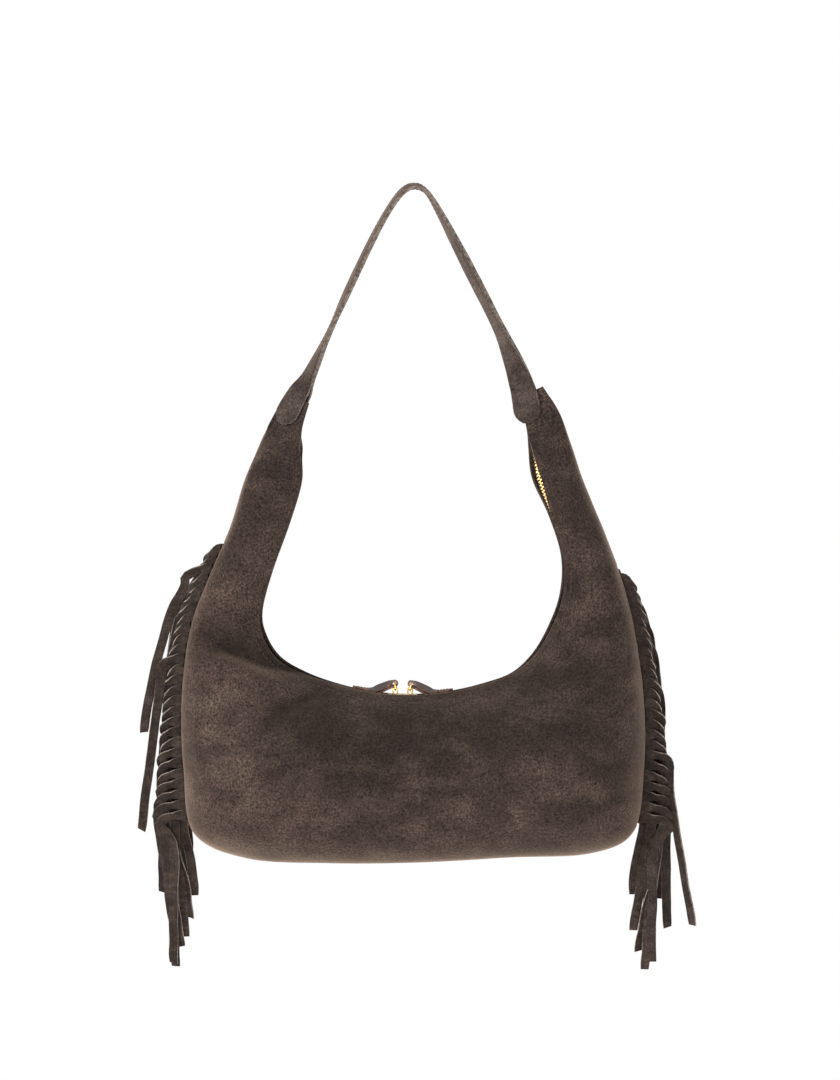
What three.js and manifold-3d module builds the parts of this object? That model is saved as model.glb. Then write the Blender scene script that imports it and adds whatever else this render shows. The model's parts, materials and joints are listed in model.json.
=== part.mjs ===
// Fringed suede shoulder bag, hanging from the top of its strap.
// Millimetres, +Z up. The plain front panel faces -Y and the origin is the spot under the top of the
// strap that rests on what the bag hangs from.
// A point of the bag's body is given as (station, n, y). A station is one cross-section of the crescent
// between its inner and its outer edge, counted from the tip of the left arm to the tip of the right arm.
// n runs in that section from the inner edge outwards and y runs from the front to the back.

import * as THREE from 'three';
import { mergeVertices } from 'three/addons/utils/BufferGeometryUtils.js';
import Module from 'manifold-3d';

const wasm = await Module();
wasm.setup();

// Clearances
const GAP = 0.3; // between pieces that touch when sewn or assembled
const SEAM_GAP = 0.15; // half of the gap between two pieces that meet at a seam

// Bag body
const ARC_RADIUS = 178; // inner edge along the bottom of the opening
const ARC_CENTRE = new THREE.Vector3(-2.5, 0, -176);
const ARC_FROM = -18; // degrees either side of straight down, from left to right
const ARC_TO = 23.5;
const ARC_POINTS = 7;
const WALL = 1.8; // suede with its backing
const FRONT_FULLNESS = 0.33; // how far a panel bulges, as a share of the crescent's local width
const BACK_FULLNESS = 0.31;
const TIP_THICKNESS = 2.1; // from the middle plane to the outside of a panel at an arm's tip
const TIP_FLAT = 22; // flat tip of an arm, held between the two sides of the strap's tab
const TIP_RAMP = 45; // length over which an arm fills out below its flat tip
const EDGE_SPREAD = 8.4; // from the middle plane to a panel's inner edge, beside the zipper
const SPREAD_RAMP = 18; // length over which the inner edges part below the flat tip
const SUBDIVISIONS = 2; // stations for each pair of outline points
const FOLD_DEPTH = 5; // fold under the left arm of the front panel
const FOLD_WIDTH = 9;

// Zipper
const ZIP_RECESS = 3.1; // from the panels' inner edges down to the zipper tape
const TAPE = 0.7;
const TAPE_LEG = 9; // part of the tape sewn under the panel
const CORD_FROM = 2.2; // the beaded edge of each tape, from the middle plane
const CORD_TO = 3.6;
const TOOTH_PITCH = 4.9;
const TOOTH_LENGTH = 2.15;
const TOOTH_HEIGHT = 2.2;
const TOOTH_REACH = 0.9; // how far a tooth crosses the middle plane where the zipper is closed
const POST_WIDTH = 0.8; // divider of a slider, which runs between the two rows of teeth
const ZIP_START = 1.9; // stations, counted in outline points from a tip, where the teeth start
const STOP_LENGTH = 5;

// Sliders and their pulls
const SLIDER_LENGTH = 10;
const SLIDER_PLAY = 0.65; // between a slider and the teeth and tapes it runs on
const SLIDER_HALF_WIDTH = 4.9;
const PLATE = 1.2;
const SLIDER_MEETING = -7.7; // x where the two sliders meet
const BAIL_HEIGHT = 5.2;
const BAIL_WIDTH = 2;
const BAIL_BAR = 1.1;
const PIVOT_OUT = 0; // pivot of a pull, from the middle of its slider
const RING_WIRE = 0.65; // radius
const RING_LENGTH = 4.5; // from the bar in the bail to the bar in the leather
const RING_LEAN = 30; // degrees
const TAB_WIDTH = 7;
const TAB_PLY = 1.1;
const TAB_LENGTH = 30;
const TAB_SLOPE = 24; // degrees

// Strap
const STRAP_PLY = 1.5;
const STRAP_WIDTH = 15;
const STRAP_TAB_WIDTH = 19;
const STRAP_TAPER = 34; // length over which the strap widens into its round tab
const TAB_HOLD = 25; // length over which the two sides of the tab stay apart around an arm's tip
const TAB_CLOSE = 9; // length over which they come together above it

// Fringe
const STRIP_PITCH = 7.35;
const STRIP_WIDTH = 6.4;
const STRIP_THICKNESS = 1.2;
const STRIP_LENGTH = 128;
const HEADER_INSIDE = 5; // part of the fringe's band that is sewn into the seam
const HEADER_OUTSIDE = 1.5;
const LANES = [0, -6.8, -13.6]; // where strips hang, from the outer end of their root
const UPPER_LANES = [-3.1, 3.7]; // the same for the upper strips, which have less room
const CLEAR_OF_SIDE = 5.2; // from the bag's side to the middle of a strip that hangs beside it
const FRONT_DEPTH = 5.2; // how far behind the seam the lowest strip hangs
const STACK_STEP = 1.4; // from a strip to the next one hanging behind it
const PASS_STEP = 0.12; // from a strip to one that hangs beside it, further back
const HEADER_SPLIT = STRIP_THICKNESS / 2 + 1.6 * GAP; // half of a seam with the fringe in it

// Outline of the crescent: [inner x, inner z, outer x, outer z, turn, sag] from an arm's tip to the
// bottom arc. Turn is how far the arm is turned about its own line, in degrees, with its inner side to
// the front. Sag is how far the front panel's inner edge lies outside the back panel's.
const LEFT_OUTLINE = [
  [-72.4, -150.7, -90, -141.3, 57, 0],
  [-81.6, -169.2, -100.6, -160.2, 57, 0],
  [-79.5, -184, -108.5, -183.5, 20, 0],
  [-80, -206, -118.5, -205.5, 0, 0],
  [-87, -235, -128, -236.5, 0, 0],
  [-99, -268.5, -141, -267, 0, 0],
  [-106, -296.5, -154.5, -302, 0, 0.6],
  [-102.5, -314, -160.5, -335.5, 0, 1.8],
  [-92.5, -328.5, -162.5, -368.5, 0, 1.9],
  [-75.5, -338.5, -161, -405.5, 0, 1.2],
];
const BOTTOM_OUTLINE = [
  [-151.5, -449.5],
  [-116, -467.5],
  [-58.5, -472],
  [4.5, -471.5],
  [67.5, -468],
  [123.5, -464],
  [152.5, -448],
];
const RIGHT_OUTLINE = [
  [83, -326, 161.5, -403.5, 0, 1.2],
  [94, -307.5, 161.5, -361.5, 0, 1.8],
  [102.5, -284, 156.5, -319.5, 0, 1.8],
  [103.5, -257, 148, -281, 0, 1],
  [95, -228, 135, -244, 6, 0],
  [85, -204, 121.5, -208.5, 22, 0],
  [81.5, -182.5, 110, -178, 8, 0],
  [78, -162, 102, -157, 0, 0],
  [74.5, -145.5, 90.5, -138.5, 0, 0],
];

// Middle of the strap from its left tab over the top to its right tab: [x, z, turn]. The turn is the
// angle in degrees between the outer ply's face and the front. The strap makes half a turn, so the ply
// that is at the front on the left is at the back on the right.
const STRAP_ROUTE = [
  [-91.2, -165, 57],
  [-85.3, -153.3, 57],
  [-78.2, -140.8, 58],
  [-71.5, -127.8, 72],
  [-58, -98.5, 82],
  [-47, -74, 82],
  [-30.5, -39, 88],
  [-19, -17.5, 84],
  [-10.5, -5, 79],
  [-4.5, 0.4, 76],
  [0, 1.65, 76],
  [4.5, 1, 78],
  [10.5, -4, 88],
  [19.5, -19, 98],
  [38.5, -55.5, 110],
  [59.5, -97, 112],
  [69.5, -120, 140],
  [76, -138.5, 178],
  [79, -151.5, 180],
  [80.2, -164, 180],
];

// Strips that hang apart from the rest: index from the top, how far out, how far back, drift outwards.
const LEFT_LOOSE = { 1: [15, 1, 27], 9: [12.5, -0.5, 19] };
const RIGHT_LOOSE = { 16: [23, 1.5, 12] };

const smooth = (value) => THREE.MathUtils.smoothstep(value, 0, 1);
const mix = THREE.MathUtils.lerp;

// Closed solid between two matching grids of points, such as the two faces of a sheet.
function sheetSolid(upper, lower) {
  const rows = upper.length;
  const columns = upper[0].length;
  const positions = [];
  for (const grid of [upper, lower]) {
    for (const row of grid) row.forEach((point) => positions.push(point.x, point.y, point.z));
  }
  const at = (layer, row, column) => (layer * rows + row) * columns + column;
  const index = [];
  const quad = (a, b, c, d) => index.push(a, b, c, a, c, d);
  for (let row = 0; row < rows - 1; row += 1) {
    for (let column = 0; column < columns - 1; column += 1) {
      quad(at(0, row, column), at(0, row, column + 1), at(0, row + 1, column + 1), at(0, row + 1, column));
      quad(at(1, row, column), at(1, row + 1, column), at(1, row + 1, column + 1), at(1, row, column + 1));
    }
    const last = columns - 1;
    quad(at(0, row, 0), at(0, row + 1, 0), at(1, row + 1, 0), at(1, row, 0));
    quad(at(0, row, last), at(1, row, last), at(1, row + 1, last), at(0, row + 1, last));
  }
  for (let column = 0; column < columns - 1; column += 1) {
    const last = rows - 1;
    quad(at(0, 0, column), at(1, 0, column), at(1, 0, column + 1), at(0, 0, column + 1));
    quad(at(0, last, column), at(0, last, column + 1), at(1, last, column + 1), at(1, last, column));
  }
  const geometry = new THREE.BufferGeometry();
  geometry.setAttribute('position', new THREE.Float32BufferAttribute(positions, 3));
  geometry.setIndex(index);
  return facingOut(geometry);
}

function signedVolume(geometry) {
  const position = geometry.attributes.position;
  const index = geometry.index.array;
  const a = new THREE.Vector3();
  const b = new THREE.Vector3();
  const c = new THREE.Vector3();
  let total = 0;
  for (let i = 0; i < index.length; i += 3) {
    a.fromBufferAttribute(position, index[i]);
    b.fromBufferAttribute(position, index[i + 1]);
    c.fromBufferAttribute(position, index[i + 2]);
    total += a.dot(b.cross(c)) / 6;
  }
  return total;
}

function facingOut(geometry) {
  if (signedVolume(geometry) < 0) geometry.index.array.reverse();
  return geometry;
}

function welded(geometry) {
  const bare = geometry.clone();
  bare.deleteAttribute('normal');
  bare.deleteAttribute('uv');
  return mergeVertices(bare, 1e-4);
}

function toSolid(geometry) {
  const mesh = facingOut(welded(geometry));
  return new wasm.Manifold(new wasm.Mesh({
    numProp: 3,
    vertProperties: new Float32Array(mesh.attributes.position.array),
    triVerts: new Uint32Array(mesh.index.array),
  }));
}

function toGeometry(solid) {
  const mesh = solid.getMesh();
  const geometry = new THREE.BufferGeometry();
  geometry.setAttribute('position', new THREE.BufferAttribute(new Float32Array(mesh.vertProperties), 3));
  geometry.setIndex(new THREE.BufferAttribute(new Uint32Array(mesh.triVerts), 1));
  return geometry;
}

function joined(geometries) {
  return toGeometry(geometries.map(toSolid).reduce((whole, part) => whole.add(part)));
}

// Smooth line through rows of numbers, read by the rows' own count.
function smoothRow(rows, place) {
  const last = rows.length - 1;
  const cell = Math.min(Math.floor(place), last - 1);
  const t = place - cell;
  const before = rows[Math.max(cell - 1, 0)];
  const after = rows[Math.min(cell + 2, last)];
  const start = rows[cell];
  const end = rows[cell + 1];
  return start.map((value, i) => {
    const m0 = (end[i] - before[i]) / (cell > 0 ? 2 : 1);
    const m1 = (after[i] - value) / (cell + 2 <= last ? 2 : 1);
    const t2 = t * t;
    const t3 = t2 * t;
    return (2 * t3 - 3 * t2 + 1) * value + (t3 - 2 * t2 + t) * m0 + (3 * t2 - 2 * t3) * end[i] + (t3 - t2) * m1;
  });
}

function arcPoint(degrees, radius) {
  const angle = THREE.MathUtils.degToRad(degrees);
  return [ARC_CENTRE.x + radius * Math.sin(angle), ARC_CENTRE.z - radius * Math.cos(angle)];
}

const OUTLINE = [
  ...LEFT_OUTLINE,
  ...BOTTOM_OUTLINE.map((outer, i) => {
    const degrees = mix(ARC_FROM, ARC_TO, i / (ARC_POINTS - 1));
    return [...arcPoint(degrees, ARC_RADIUS), ...outer, 0, 0];
  }),
  ...RIGHT_OUTLINE,
];
const LAST = OUTLINE.length - 1;

// Length along the inner edge, for each outline point.
const INNER_LENGTHS = OUTLINE.reduce((lengths, row, i) => {
  const step = i ? Math.hypot(row[0] - OUTLINE[i - 1][0], row[1] - OUTLINE[i - 1][1]) : 0;
  return [...lengths, (lengths[i - 1] ?? 0) + step];
}, []);

function innerLength(place) {
  const cell = Math.min(Math.floor(place), LAST - 1);
  return mix(INNER_LENGTHS[cell], INNER_LENGTHS[cell + 1], place - cell);
}

// One cross-section of the crescent.
class Station {
  constructor(place) {
    const [ix, iz, ox, oz, turn, sag] = smoothRow(OUTLINE, place);
    this.inner = new THREE.Vector3(ix, 0, iz);
    this.outer = new THREE.Vector3(ox, 0, oz);
    this.width = this.inner.distanceTo(this.outer);
    this.across = this.outer.clone().sub(this.inner).normalize();
    this.fromLeft = innerLength(place);
    const fromTip = Math.min(this.fromLeft, INNER_LENGTHS[LAST] - this.fromLeft);
    this.filled = smooth((fromTip - TIP_FLAT) / TIP_RAMP);
    this.parted = smooth((fromTip - TIP_FLAT) / SPREAD_RAMP);
    this.spread = mix(TIP_THICKNESS, EDGE_SPREAD, this.parted);
    this.sag = sag;
    this.cos = Math.cos(THREE.MathUtils.degToRad(turn));
    this.sin = Math.sin(THREE.MathUtils.degToRad(turn));
  }

  bulge(fullness) {
    return Math.max(mix(TIP_THICKNESS, fullness * this.width, this.filled), this.spread);
  }

  // World point at n from the inner edge and y from the middle plane.
  point(n, y) {
    const half = this.width / 2;
    const n2 = half + (n - half) * this.cos - y * this.sin;
    const y2 = (n - half) * this.sin + y * this.cos;
    return this.inner.clone().addScaledVector(this.across, n2).setY(y2);
  }
}

const STATIONS = Array.from({ length: LAST * SUBDIVISIONS + 1 }, (_, i) => new Station(i / SUBDIVISIONS));

// Stretch of the outer edge that holds the fringe, counted in outline points.
const LEFT_FRINGE = [4.4, 9.85];
const RIGHT_FRINGE = [16.15, 20.4];

function seamHalf(place) {
  const held = [LEFT_FRINGE, RIGHT_FRINGE].some(([from, to]) => place > from - 0.6 && place < to + 0.6);
  return held ? HEADER_SPLIT : SEAM_GAP;
}

// Outside of a panel in one section, from its inner edge to the seam: [n, y] with y counted outwards.
// Side -1 is the front panel and 1 the back one.
const ACROSS = [0, 0.11, 0.3, 0.54, 0.78, 0.94, 1];
const CREST = 0.5;

function panelHeight(station, side, t) {
  const bulge = station.bulge(side < 0 ? FRONT_FULLNESS : BACK_FULLNESS);
  if (t <= CREST) return mix(station.spread, bulge, Math.sin((Math.PI / 2) * (t / CREST)) ** 0.85);
  const round = (1 - ((t - CREST) / (1 - CREST)) ** 2.4) ** 0.55;
  return bulge * (t === 1 ? 0 : mix(1, round, station.parted));
}

function panelProfile(station, side, seam) {
  return ACROSS.map((t) => {
    const sag = side < 0 ? station.sag * (1 - t) ** 2 : 0;
    return [sag + t * station.width, Math.max(panelHeight(station, side, t), seam)];
  });
}

// The same profile moved inwards by a depth.
function insideProfile(profile, depth, seam) {
  const last = profile.length - 1;
  return profile.map(([n, y], i) => {
    if (i === 0) return [n, Math.max(y - depth, seam)];
    if (i === last) return [n - depth * 1.2, seam];
    const [n0, y0] = profile[i - 1];
    const [n1, y1] = profile[i + 1];
    const length = Math.hypot(n1 - n0, y1 - y0);
    const inner = [n + (depth * (y1 - y0)) / length, y - (depth * (n1 - n0)) / length];
    return [Math.min(inner[0], profile[last][0] - depth * 1.2), Math.max(inner[1], seam)];
  });
}

// Height of a profile at n.
function heightOn(profile, n) {
  const next = Math.max(profile.findIndex((point) => point[0] >= n), 1);
  const [n0, y0] = profile[next - 1];
  const [n1, y1] = profile[next];
  return mix(y0, y1, (n - n0) / (n1 - n0));
}

// The fold in the front panel, where the left arm sinks into the bag.
function foldAt(point) {
  const along = (point.x + 152) / 70;
  const line = -326 - 17 * smooth(along);
  const ends = smooth(along * 4) * smooth((1 - along) * 2.2);
  return ends * FOLD_DEPTH * Math.exp(-(((point.z - line) / FOLD_WIDTH) ** 2));
}

function panel(side) {
  const outside = [];
  const inside = [];
  STATIONS.forEach((station, i) => {
    const seam = seamHalf(i / SUBDIVISIONS);
    const profile = panelProfile(station, side, seam);
    const skin = profile.map(([n, y]) => station.point(n, side * y));
    const back = insideProfile(profile, WALL, seam).map(([n, y]) => station.point(n, side * y));
    if (side < 0) {
      skin.forEach((point, j) => {
        if (j === 0 || j === skin.length - 1) return;
        const depth = foldAt(point);
        point.y += depth;
        back[j].y += depth;
      });
    }
    outside.push(skin);
    inside.push(back);
  });
  return sheetSolid(outside, inside);
}

// The cotton lining of one panel, hanging loosely inside it.
const LINING = 0.6;
const LINING_LOOSE = 1;
const LINING_HEM = TAPE_LEG + 2;
const LINING_SEAM = 8;
const LINING_APART = 1; // from the middle plane, where the two linings meet

function lining(side) {
  const layers = [WALL + LINING_LOOSE, WALL + LINING_LOOSE + LINING].map((depth, layer) => {
    const step = side < 0 ? 1 : 2;
    const rows = STATIONS.slice(3 * SUBDIVISIONS, (LAST - 3) * SUBDIVISIONS + 1).filter((_, i) => i % step === 0);
    return rows.map((station) => {
      const deep = insideProfile(panelProfile(station, side, SEAM_GAP), depth, SEAM_GAP);
      const limit = station.width - LINING_SEAM;
      const kept = [deep[1], deep[2], deep[3], [limit - layer * LINING, LINING_APART]];
      return kept.map(([n, y]) => {
        const inside = THREE.MathUtils.clamp(n, LINING_HEM + station.sag, limit);
        const point = station.point(inside, side * y);
        if (side < 0) point.y += 1.15 * foldAt(point);
        return point;
      });
    });
  });
  return sheetSolid(...layers);
}

// Stations in even steps along the zipper line.
const ZIP_RADIUS = ARC_RADIUS + ZIP_RECESS;
const ZIP_LINE = [];
for (let place = ZIP_START; place <= LAST - ZIP_START; place += 0.02) {
  const station = new Station(place);
  const previous = ZIP_LINE.at(-1);
  const point = station.point(ZIP_RECESS, 0);
  const length = previous ? previous.length + point.distanceTo(previous.point) : 0;
  ZIP_LINE.push({ place, point, length });
}
const ZIP_LENGTH = ZIP_LINE.at(-1).length;

function placeOnZip(length) {
  const next = ZIP_LINE.findIndex((entry) => entry.length >= length);
  if (next <= 0) return ZIP_LINE[Math.max(next, 0)].place;
  const a = ZIP_LINE[next - 1];
  const b = ZIP_LINE[next];
  return mix(a.place, b.place, (length - a.length) / (b.length - a.length));
}

function zipperTape(side) {
  const first = Math.ceil(ZIP_START * SUBDIVISIONS);
  const rows = STATIONS.slice(first, STATIONS.length - first);
  const layer = (depth) => rows.map((station) => {
    const edge = side < 0 ? station.sag : 0;
    const inner = station.spread - WALL - GAP - depth;
    const under = insideProfile(panelProfile(station, side, SEAM_GAP), WALL + 2 * GAP, SEAM_GAP);
    const leg = station.point(edge + TAPE_LEG, side * (heightOn(under, edge + TAPE_LEG) - depth));
    if (side < 0) leg.y += foldAt(leg);
    return [
      station.point(ZIP_RECESS - TAPE / 2 + depth, side * (CORD_TO + GAP)),
      station.point(edge + ZIP_RECESS - TAPE / 2 + depth, side * inner),
      leg,
    ];
  });
  return sheetSolid(layer(0), layer(TAPE));
}

// Box in the sections from one length to another along the zipper, between n and y limits.
function zipBlock(from, to, n0, n1, y0, y1) {
  const [a, b] = [from, to].map((length) => new Station(placeOnZip(length)));
  const face = (n) => [a, b].map((station) => [station.point(n, y0), station.point(n, y1)]);
  return sheetSolid(face(n0), face(n1));
}

const OPEN_SPAN = 22; // degrees of the bottom arc where the rows stay apart for the sliders' dividers

function isOpen(length) {
  const point = new Station(placeOnZip(length)).point(ZIP_RECESS, 0);
  const angle = Math.atan2(point.x - ARC_CENTRE.x, ARC_CENTRE.z - point.z);
  return Math.abs(THREE.MathUtils.radToDeg(angle)) < OPEN_SPAN && point.z < ARC_CENTRE.z;
}

// One row of metal teeth on its beaded cord, as a comb. Its corners are given by length along the zipper
// and distance from the middle plane. Every second tooth has a corner of its own on the straight back.
function toothRow(side) {
  const count = 2 * Math.floor((ZIP_LENGTH - 2 * STOP_LENGTH) / TOOTH_PITCH / 2) - 1;
  const corners = [];
  const top = [];
  const wall = [];
  const add = (length, y) => corners.push([length, y]) - 1;
  let back = add(STOP_LENGTH + GAP, CORD_TO);
  let fan = [];
  let previous = back;
  const link = (corner) => {
    wall.push([previous, corner]);
    previous = corner;
  };
  for (let i = 0; i < count; i += 1) {
    const start = STOP_LENGTH + GAP + (i + (side < 0 ? 0 : 0.5)) * TOOTH_PITCH;
    const tip = isOpen(start) ? POST_WIDTH / 2 + GAP : -TOOTH_REACH;
    const root = add(start, CORD_FROM);
    const tipStart = add(start, tip);
    const tipEnd = add(start + TOOTH_LENGTH, tip);
    const rootEnd = add(start + TOOTH_LENGTH, CORD_FROM);
    [root, tipStart, tipEnd, rootEnd].forEach(link);
    top.push([root, tipStart, tipEnd], [root, tipEnd, rootEnd]);
    fan.push(root, rootEnd);
    if (i % 2 === 0 && i > 0) {
      const next = add(start + TOOTH_LENGTH, CORD_TO);
      for (let k = 0; k < fan.length - 1; k += 1) top.push([back, fan[k], fan[k + 1]]);
      top.push([back, rootEnd, next]);
      wall.push([next, back]);
      back = next;
      fan = [rootEnd];
    }
  }
  wall.push([previous, back]);
  const half = TOOTH_HEIGHT / 2;
  const positions = [-half, half].flatMap((n) => corners.flatMap(([length, y]) => {
    const point = new Station(placeOnZip(length)).point(ZIP_RECESS + n, side * y);
    return [point.x, point.y, point.z];
  }));
  const lower = corners.length;
  const index = top.flatMap(([a, b, c]) => [a, b, c, a + lower, c + lower, b + lower]);
  wall.forEach(([a, b]) => index.push(b, a, a + lower, b, a + lower, b + lower));
  const geometry = new THREE.BufferGeometry();
  geometry.setAttribute('position', new THREE.Float32BufferAttribute(positions, 3));
  geometry.setIndex(index);
  return facingOut(geometry);
}

// Metal box that holds both tapes together at one end of the zipper.
function endStop(atEnd) {
  const from = atEnd ? ZIP_LENGTH - STOP_LENGTH : 0;
  const half = TOOTH_HEIGHT / 2;
  return zipBlock(from, from + STOP_LENGTH, ZIP_RECESS - half, ZIP_RECESS + half, -CORD_TO, CORD_TO);
}

// A part of a slider drawn from the side, with x along the zipper and y up, as thick as its width.
function sideExtrude(points, width, holes = []) {
  const shape = new THREE.Shape(points.map(([x, y]) => new THREE.Vector2(x, y)));
  holes.forEach((hole) => shape.holes.push(new THREE.Path(hole.map(([x, y]) => new THREE.Vector2(x, y)))));
  const geometry = new THREE.ExtrudeGeometry(shape, { depth: width, bevelEnabled: false });
  return geometry.translate(0, 0, -width / 2).rotateX(Math.PI / 2);
}

// A flat part of a slider drawn from above, between two heights.
function planExtrude(points, from, to) {
  const shape = new THREE.Shape(points.map(([x, y]) => new THREE.Vector2(x, y)));
  return new THREE.ExtrudeGeometry(shape, { depth: to - from, bevelEnabled: false }).translate(0, 0, from);
}

// Points on an arc about a centre in a side view, between two angles in degrees.
function arcAround(centre, radius, from, to, steps) {
  return Array.from({ length: steps + 1 }, (_, i) => {
    const angle = THREE.MathUtils.degToRad(mix(from, to, i / steps));
    return [centre.x + radius * Math.cos(angle), centre.y + radius * Math.sin(angle)];
  });
}

const SLIDER_FACE = TOOTH_HEIGHT / 2 + SLIDER_PLAY;
const SLIDER_TOP = SLIDER_FACE + PLATE;
const BAIL_RADIUS = RING_WIRE + GAP + BAIL_BAR;
const PIVOT = new THREE.Vector2(PIVOT_OUT, SLIDER_TOP + BAIL_HEIGHT - BAIL_RADIUS);
const RING_ANGLE = THREE.MathUtils.degToRad(RING_LEAN);
const RING_BAR = new THREE.Vector2(
  PIVOT.x + RING_LENGTH * Math.sin(RING_ANGLE),
  PIVOT.y + RING_LENGTH * Math.cos(RING_ANGLE),
);

// Slider with x away from the other slider, z out of the zipper, its middle at the origin.
function sliderGeometry() {
  const half = SLIDER_LENGTH / 2;
  const wide = SLIDER_HALF_WIDTH;
  const narrow = wide - 0.5;
  const face = SLIDER_FACE;
  const plan = [[-half, -wide + 1.2], [-half + 1.2, -wide], [0, -wide], [half, -narrow],
    [half, narrow], [0, wide], [-half + 1.2, wide], [-half, wide - 1.2]];
  const lip = CORD_TO + GAP + 0.1;
  const lipHeight = face - TAPE / 2 - SLIDER_PLAY;
  const postLength = 3;
  const post = [[-half, 0], [-half + 0.8, -POST_WIDTH / 2], [-half + postLength, 0], [-half + 0.8, POST_WIDTH / 2]];
  const top = SLIDER_TOP;
  const arch = (radius, foot) => [[PIVOT.x + radius, foot], ...arcAround(PIVOT, radius, 0, 180, 8),
    [PIVOT.x - radius, foot]];
  const lips = [-1, 1].flatMap((ySide) => [-1, 1].map((zSide) => {
    const y = [ySide * lip, ySide * (narrow - 0.02)].sort((a, b) => a - b);
    const z = [zSide * (face + 0.2), zSide * (face - lipHeight)].sort((a, b) => a - b);
    return planExtrude([[-1, y[0]], [half, y[0]], [half, y[1]], [-1, y[1]]], z[0], z[1]);
  }));
  return joined([
    planExtrude(plan, face, top),
    planExtrude(plan, -top, -face),
    planExtrude(post, -face - 0.2, face + 0.2),
    sideExtrude(arch(BAIL_RADIUS, top - 0.3), BAIL_WIDTH, [arch(BAIL_RADIUS - BAIL_BAR, top + 0.3)]),
    ...lips,
  ]);
}

function bar(radius, length, x, z) {
  return new THREE.CylinderGeometry(radius, radius, length, 8).translate(x, 0, z);
}

// Wire link through the slider's bail, which carries the leather tab on its other bar.
function linkGeometry() {
  const side = TAB_WIDTH / 2 + GAP + RING_WIRE;
  const leg = (y) => new THREE.CylinderGeometry(RING_WIRE, RING_WIRE, RING_LENGTH + 2 * RING_WIRE, 8)
    .rotateX(Math.PI / 2)
    .rotateY(RING_ANGLE)
    .translate((PIVOT.x + RING_BAR.x) / 2, y, (PIVOT.y + RING_BAR.y) / 2);
  return joined([
    bar(RING_WIRE, 2 * side, PIVOT.x, PIVOT.y),
    bar(RING_WIRE, 2 * side, RING_BAR.x, RING_BAR.y),
    leg(-side),
    leg(side),
  ]);
}

// Leather tab folded over the link's bar, both plies stitched together, drooping onto the zipper.
function tabGeometry() {
  const holeRadius = RING_WIRE + GAP;
  const loopRadius = holeRadius + TAB_PLY;
  const rest = (x) => TOOTH_HEIGHT / 2 + 2 * GAP + TAB_PLY + (x * x) / (2 * ZIP_RADIUS);
  const middle = [7, 11, 16, 22, TAB_LENGTH].map((x) => {
    const slope = RING_BAR.y - (x - RING_BAR.x) * Math.tan(THREE.MathUtils.degToRad(TAB_SLOPE));
    return [x, Math.max(slope, rest(x)) + 0.25];
  });
  const lower = middle.map(([x, z]) => [x, z - TAB_PLY]);
  const upper = middle.map(([x, z]) => [x, z + TAB_PLY]).reverse();
  const outline = [...arcAround(RING_BAR, loopRadius, 90 - TAB_SLOPE, 270 - TAB_SLOPE, 6), ...lower, ...upper];
  return sideExtrude(outline, TAB_WIDTH, [arcAround(RING_BAR, holeRadius, 0, 315, 7)]);
}

// Puts a slider's part on the zipper: side -1 is the left slider and 1 the right one.
function onZip(geometry, side) {
  const start = Math.asin((SLIDER_MEETING - ARC_CENTRE.x) / ZIP_RADIUS);
  const half = (SLIDER_LENGTH / 2 + GAP) / ZIP_RADIUS;
  const angle = start + side * half;
  const placed = geometry.clone();
  if (side < 0) placed.rotateZ(Math.PI);
  return placed
    .translate(0, 0, -ZIP_RADIUS)
    .rotateY(-angle)
    .translate(ARC_CENTRE.x, 0, ARC_CENTRE.z);
}

// Frame of the strap at a place along its route.
function strapFrame(place) {
  const [x, z, turn] = smoothRow(STRAP_ROUTE, place);
  const ahead = smoothRow(STRAP_ROUTE, Math.min(place + 0.05, STRAP_ROUTE.length - 1));
  const behind = smoothRow(STRAP_ROUTE, Math.max(place - 0.05, 0));
  const along = new THREE.Vector3(ahead[0] - behind[0], 0, ahead[1] - behind[1]).normalize();
  const away = new THREE.Vector3(-along.z, 0, along.x);
  const angle = THREE.MathUtils.degToRad(turn);
  const face = away.multiplyScalar(Math.sin(angle)).setY(-Math.cos(angle));
  return { centre: new THREE.Vector3(x, 0, z), face, across: face.clone().cross(along).normalize() };
}

const STRAP_LAST = STRAP_ROUTE.length - 1;
const STRAP_LINE = Array.from({ length: STRAP_LAST * 20 + 1 }, (_, i) => i / 20).reduce((line, place) => {
  const { centre } = strapFrame(place);
  const previous = line.at(-1);
  const length = previous ? previous.length + centre.distanceTo(previous.centre) : 0;
  return [...line, { place, centre, length }];
}, []);
const STRAP_LENGTH = STRAP_LINE.at(-1).length;

function strapPlace(length) {
  const next = STRAP_LINE.findIndex((entry) => entry.length >= length - 1e-6);
  if (next <= 0) return next < 0 ? STRAP_LAST : 0;
  const a = STRAP_LINE[next - 1];
  const b = STRAP_LINE[next];
  return mix(a.place, b.place, (length - a.length) / (b.length - a.length));
}

// Half width of the strap at a distance from its nearer end, with a round tab there.
function strapHalfWidth(fromEnd) {
  const radius = STRAP_TAB_WIDTH / 2;
  if (fromEnd < radius) return Math.max(Math.sqrt(radius ** 2 - (radius - fromEnd) ** 2), 1.2);
  return mix(radius, STRAP_WIDTH / 2, smooth((fromEnd - radius) / STRAP_TAPER));
}

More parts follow.
